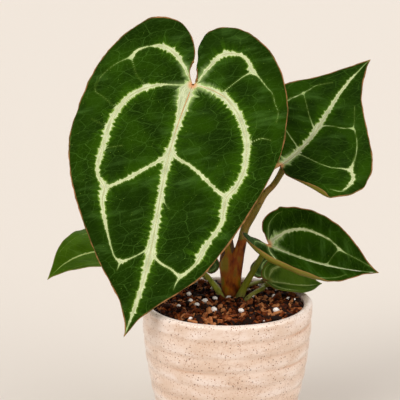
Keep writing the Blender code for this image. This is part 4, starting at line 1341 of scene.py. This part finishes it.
def underside_finish(name, colours):
    """The underside of a blade: matt olive skin, paler on its ribs and net, and browner at its margin."""
    material, add = new_finish(name)
    marks = leaf_marks(add)
    field, warm, pale = colours
    mottle = add("TexNoise", Vector=marks.leaf, Scale=0.07, Detail=4.0)
    colour = add("Mix", add("MapRange", mottle, 0.3, 0.7, **EASED), field, warm, **IN_COLOUR)
    net = add("Math", marks.net, 0.32, **TIMES)
    net = add("Math", net, add("Math", marks.fine_net, 0.16, **TIMES), **LARGER)
    for mask, over in (
        (net, pale),
        (add("MapRange", marks.outside, -0.4, 0.8, 0.8, 0.0, **EASED), pale),
        (add("MapRange", marks.to_margin, 0.8, 4.5, 0.8, 0.0, **EASED), "#726a1c"),
        (add("MapRange", marks.to_margin, 0.1, 0.7, 0.6, 0.0, **EASED), "#94683a"),
    ):
        colour = add("Mix", mask, colour, over, **IN_COLOUR)
    height = add("Math", marks.fine_net, 0.4, add("Math", marks.net, 0.8, **TIMES), **TIMES_PLUS)
    shader = add(
        "BsdfPrincipled", Base_Color=colour, Metallic=0.0, Roughness=0.52, IOR=1.42,
        Specular_IOR_Level=0.25,
        Normal=add("Bump", Strength=0.6, Distance=0.0004, Height=height),
    )
    add("OutputMaterial", shader)
    return material


def rib_finish(name, at_stalk, on_band, thin):
    """The raised ribs: reddish at the stalk, tan along the silver bands, green where the veins are fine."""
    material, add = new_finish(name)
    away = add("Attribute", attribute_name="from_stalk", output="Fac")
    width = add("Attribute", attribute_name="band_width", output="Fac")
    grain = add("TexNoise", Vector=add("TexCoord", output="Object"), Scale=420.0, Detail=2.0)
    colour = add("Mix", add("MapRange", away, 4.0, 58.0, **EASED), at_stalk, on_band, **IN_COLOUR)
    for mask in (
        add("MapRange", width, 1.8, 0.7, **EASED), add("MapRange", grain, 0.4, 0.7, 0.0, 0.25, **EASED),
    ):
        colour = add("Mix", mask, colour, thin, **IN_COLOUR)
    shader = add(
        "BsdfPrincipled", Base_Color=colour, Metallic=0.0, Roughness=0.48, IOR=1.42, Specular_IOR_Level=0.2,
    )
    add("OutputMaterial", shader)
    return material


def stalk_finish(name, colours):
    """The smooth skin of a leaf stalk: long pale and dark streaks, with small dark specks."""
    material, add = new_finish(name)
    body, warm, dark = colours
    place = add("TexCoord", output="Object")
    drawn = add("Mapping", Vector=place, Scale=(1.0, 1.0, 0.16))
    streak = add("TexNoise", Vector=drawn, Scale=520.0, Detail=3.0)
    patch = add("TexNoise", Vector=place, Scale=70.0, Detail=2.0)
    height = add("Attribute", attribute_name="height", output="Fac")
    colour = add("Mix", add("MapRange", streak, 0.35, 0.7, **EASED), body, dark, **IN_COLOUR)
    for mask, over in (
        (add("MapRange", patch, 0.45, 0.75, 0.0, 0.8, **EASED), warm),
        (add("MapRange", height, 103.0, 112.0, 0.6, 0.0, **EASED), "#8a7a4a"),
        (speck_mask(add, place, 260.0, 0.72, 0.12, 0.24, 0.75), "#33280a"),
    ):
        colour = add("Mix", mask, colour, over, **IN_COLOUR)
    shader = add(
        "BsdfPrincipled", Base_Color=colour, Metallic=0.0, Roughness=0.42, IOR=1.43,
        Specular_IOR_Level=0.25,
        Normal=add("Bump", Strength=0.5, Distance=0.0002, Height=streak),
    )
    add("OutputMaterial", shader)
    return material


def trunk_finish():
    """Corky young stem skin: orange brown and olive streaks that run up it, darker in its growth scars."""
    material, add = new_finish("trunk corky skin")
    place = add("TexCoord", output="Object")
    drawn = add("Mapping", Vector=place, Scale=(1.0, 1.0, 0.45))
    streak = add("TexNoise", Vector=drawn, Scale=210.0, Detail=6.0)
    colour = add("ValToRGB", streak, stops=(
        (0.32, "#482004"), (0.43, "#8c4306"), (0.52, "#a8640e"), (0.62, "#887416"),
    ))
    patch = add("TexNoise", Vector=place, Scale=95.0, Detail=2.0)
    scar = add("Attribute", attribute_name="scar", output="Fac")
    height = add("SeparateXYZ", place).node.outputs["Z"]
    for mask, over in (
        (add("MapRange", patch, 0.5, 0.72, 0.0, 0.7, **EASED), "#96400a"),
        (add("Math", scar, 0.10, **TIMES), "#2e1704"),
        (add("MapRange", height, 0.102, 0.109, 0.75, 0.0, **EASED), "#6d3a2a"),
    ):
        colour = add("Mix", mask, colour, over, **IN_COLOUR)
    fine = add("TexNoise", Vector=drawn, Scale=900.0, Detail=3.0)
    relief = add("Math", fine, 0.4, streak, **TIMES_PLUS)
    shader = add(
        "BsdfPrincipled", Base_Color=colour, Metallic=0.0, Roughness=0.45, IOR=1.45,
        Specular_IOR_Level=0.22,
        Normal=add("Bump", Strength=0.6, Distance=0.0004, Height=relief),
    )
    add("OutputMaterial", shader)
    return material


def sheath_finish():
    """Dry papery sheath: dull brown with long fibres, nearly black at its tip."""
    material, add = new_finish("dry sheath paper")
    drawn = add("Mapping", Vector=add("TexCoord", output="Object"), Scale=(1.0, 1.0, 0.1))
    fibres = add("TexNoise", Vector=drawn, Scale=900.0, Detail=3.0)
    colour = add("Mix", fibres, "#3a2410", "#7a5324", **IN_COLOUR)
    tip = add("Attribute", attribute_name="to_tip", output="Fac")
    colour = add("Mix", add("MapRange", tip, 0.55, 1.0, 0.0, 0.8, **EASED), colour, "#2a190a", **IN_COLOUR)
    add("OutputMaterial", add("BsdfPrincipled", Base_Color=colour, Metallic=0.0, Roughness=0.7))
    return material


def glaze_finish():
    """Satin oatmeal glaze on stoneware: iron specks of 0.3 to 0.8 mm and hair cracks, with painted shade in
    tan along the rings' valleys, painted highlights on their crests and a painted highlight round the rim.

    The real hair cracks are under 0.1 mm wide, and are drawn twice as wide to show.
    """
    material, add = new_finish("stoneware oatmeal glaze")
    place = add("TexCoord", output="Object")
    cloud = add("Mapping", Vector=place, Scale=(1.0, 1.0, 2.4))
    cloud = add("TexNoise", Vector=cloud, Scale=38.0, Detail=5.0)
    sand = add("TexNoise", Vector=place, Scale=800.0, Detail=3.0)
    valley = add("Attribute", attribute_name="valley", output="Fac")
    # Painted highlight: paler glaze along the rings' crests, where the cloud is light
    painted_crest_highlight = add("MapRange", valley, 0.0, 0.3, 0.5, 0.0, **EASED)
    painted_crest_highlight = add("Math", painted_crest_highlight, add("MapRange", cloud, 0.4, 0.65, **EASED), **TIMES)
    height = add("SeparateXYZ", place).node.outputs["Z"]

    warp = add("TexNoise", Vector=place, Scale=120.0, Detail=2.0, output="Color")
    moved = add("VectorMath", warp, (0.006, 0.006, 0.006), place, **TIMES_PLUS)
    crack = add("TexVoronoi", Vector=moved, Scale=240.0, feature="DISTANCE_TO_EDGE")
    crack = add("MapRange", crack, 0.005, 0.05, 0.42, 0.0, **EASED)
    where = add("TexNoise", Vector=place, Scale=90.0, Detail=2.0)
    crack = add("Math", crack, add("MapRange", where, 0.47, 0.62, **EASED), **TIMES)

    colour = add("Mix", add("MapRange", cloud, 0.35, 0.68, **EASED), "#d8beaa", "#e5d0c1", **IN_COLOUR)
    for mask, over in (
        (add("MapRange", sand, 0.5, 0.75, 0.0, 0.45, **EASED), "#c79c7e"),
        # Painted shade: tan along the rings' valleys, under each ring
        (add("MapRange", valley, 0.66, 1.0, 0.0, 0.55, **EASED), "#c28f6a"),
        (painted_crest_highlight, "#f0e4de"),
        # Painted highlight: paler glaze round the top of the rim
        (add("MapRange", height, 0.1018, 0.1042, 0.0, 0.5, **EASED), "#f0e2d6"),
        (crack, "#a06a44"),
        (speck_mask(add, place, 640.0, 0.42, 0.15, 0.33, 0.9), "#a6714c"),
        (speck_mask(add, place, 380.0, 0.51, 0.11, 0.23, 0.9), "#71442a"),
        (speck_mask(add, place, 165.0, 0.55, 0.05, 0.095, 0.9), "#38241a"),
        (add("MapRange", height, 0.0008, 0.0016, 1.0, 0.0, **EASED), "#b98a62"),
    ):
        colour = add("Mix", mask, colour, over, **IN_COLOUR)
    skin = add("Math", sand, 0.25, cloud, **TIMES_PLUS)
    shader = add(
        "BsdfPrincipled", Base_Color=colour, Metallic=0.0, IOR=1.5, Coat_Weight=0.35, Coat_Roughness=0.1,
        Roughness=add("MapRange", cloud, 0.3, 0.7, 0.42, 0.3, **EASED),
        Normal=add("Bump", Strength=0.35, Distance=0.0006, Height=skin),
    )
    add("OutputMaterial", shader)
    return material


def bark_finish():
    """Composted pine bark: chips from near black to reddish brown, with paler broken grain."""
    material, add = new_finish("potting mix pine bark")
    tone = add("Attribute", attribute_name="tone", output="Fac")
    grain = add("TexNoise", Vector=add("TexCoord", output="Object"), Scale=480.0, Detail=5.0)
    mixed = add("Math", grain, 0.75, add("Math", tone, -0.28), **TIMES_PLUS)
    colour = add("ValToRGB", mixed, stops=(
        (0.15, "#140600"), (0.36, "#3a1605"), (0.56, "#682e0a"), (0.76, "#86441b"), (0.95, "#ab7044"),
    ))
    shader = add(
        "BsdfPrincipled", Base_Color=colour, Metallic=0.0, Specular_IOR_Level=0.12,
        Roughness=add("MapRange", grain, 0.3, 0.7, 0.55, 0.85, **EASED),
        Normal=add("Bump", Strength=0.8, Distance=0.0006, Height=grain),
    )
    add("OutputMaterial", shader)
    return material


def fines_finish():
    """The damp dust between the chips: near black humus."""
    material, add = new_finish("potting mix humus")
    grain = add("TexNoise", Vector=add("TexCoord", output="Object"), Scale=600.0, Detail=5.0)
    colour = add("Mix", add("MapRange", grain, 0.4, 0.7, **EASED), "#0c0300", "#2a1004", **IN_COLOUR)
    shader = add(
        "BsdfPrincipled", Base_Color=colour, Metallic=0.0, Roughness=0.95, Specular_IOR_Level=0.1,
        Normal=add("Bump", Strength=1.0, Distance=0.0008, Height=grain),
    )
    add("OutputMaterial", shader)
    return material


def perlite_finish():
    """Expanded perlite: chalky white with grey pores."""
    material, add = new_finish("perlite chalky stone")
    pores = add("TexNoise", Vector=add("TexCoord", output="Object"), Scale=1100.0, Detail=3.0)
    colour = add("Mix", add("MapRange", pores, 0.28, 0.5, **EASED), "#c4b6a8", "#fffaf4", **IN_COLOUR)
    shader = add(
        "BsdfPrincipled", Base_Color=colour, Metallic=0.0, Roughness=0.8,
        Normal=add("Bump", Strength=0.7, Distance=0.0004, Height=pores),
    )
    add("OutputMaterial", shader)
    return material


def make_studio():
    """A plain pale floor, soft light from the front left, and the photograph's camera."""
    bm = bmesh.new()
    bmesh.ops.create_circle(bm, cap_ends=True, radius=12.0, segments=96)
    material, add = new_finish("studio floor")
    add("OutputMaterial", add("BsdfPrincipled", Base_Color="#dcd5cd", Roughness=0.9))
    floor = bpy.data.objects.new("floor", mesh_from(bm, "floor", [material]))
    bpy.context.scene.collection.objects.link(floor)
    lamps = (
        ("key", (50, 0, -46), 1.84, 40, (1.0, 0.975, 0.94)),
        ("fill", (60, 0, 60), 1.34, 60, (1.0, 0.965, 0.93)),
        ("back", (55, 0, 165), 0.6, 60, (0.97, 0.98, 1.0)),
    )
    for name, turn, strength, softness, colour in lamps:
        light = bpy.data.lights.new(name, "SUN")
        light.energy = strength
        light.angle = math.radians(softness)
        light.color = colour
        lamp = bpy.data.objects.new(name, light)
        lamp.rotation_euler = [math.radians(angle) for angle in turn]
        bpy.context.scene.collection.objects.link(lamp)
    world = bpy.data.worlds.new("studio")
    world.use_nodes = True
    background = world.node_tree.nodes["Background"]
    background.inputs["Color"].default_value = linear("#f2ece6")
    background.inputs["Strength"].default_value = 0.60
    bpy.context.scene.world = world
    lens = bpy.data.cameras.new("camera")
    lens.lens = 108.375
    lens.sensor_width = 36
    camera = bpy.data.objects.new("camera", lens)
    camera.location = (0, -0.81065941, 0.36059993)
    camera.rotation_euler = (math.radians(90 - 12.7714527), 0, math.radians(1.3422336))
    bpy.context.scene.collection.objects.link(camera)
    bpy.context.scene.camera = camera
    bpy.context.scene.view_settings.view_transform = "Standard"


def build():
    """Dress every piece of the plant."""
    make_studio()
    olive = ("#4f4a0d", "#5f5a18", "#7d7a34")
    fresh = ("#5f7420", "#6c7c2a", "#97a34e")
    uppers = {
        "velvet": leaf_finish("velvet leaf skin", "velvet", 0.03, 0.55),
        "young": leaf_finish("young leaf skin", "young", 0.03, 0.48),
        "fresh": leaf_finish("fresh leaf skin", "fresh", 0.02, 0.45),
    }
    unders = {
        "velvet": underside_finish("olive leaf underside", olive),
        "young": underside_finish("young leaf underside", fresh),
        "fresh": underside_finish("fresh leaf underside", fresh),
    }
    ribs = {
        "velvet": rib_finish("velvet leaf ribs", "#cc8450", "#c4c294", "#9cbc62"),
        "young": rib_finish("young leaf ribs", "#8a7a3a", "#8fa860", "#7f9a50"),
        "fresh": rib_finish("fresh leaf ribs", "#8a8a3a", "#b7c06e", "#93a84a"),
    }
    skins = {name: stalk_finish(f"{name} stalk skin", colours) for name, colours in STALK_SKINS.items()}
    for name, blade in BLADES.items():
        make_blade(name, uppers[blade.skin], unders[blade.skin])
        make_ribs(name, ribs[blade.skin])
        make_stalk(name, skins[STALKS[name].skin])
    make_trunk(trunk_finish())
    make_sheaths(sheath_finish())
    make_pot(glaze_finish())
    make_soil(fines_finish())
    make_chips(bark_finish())
    make_perlite(perlite_finish())


build()
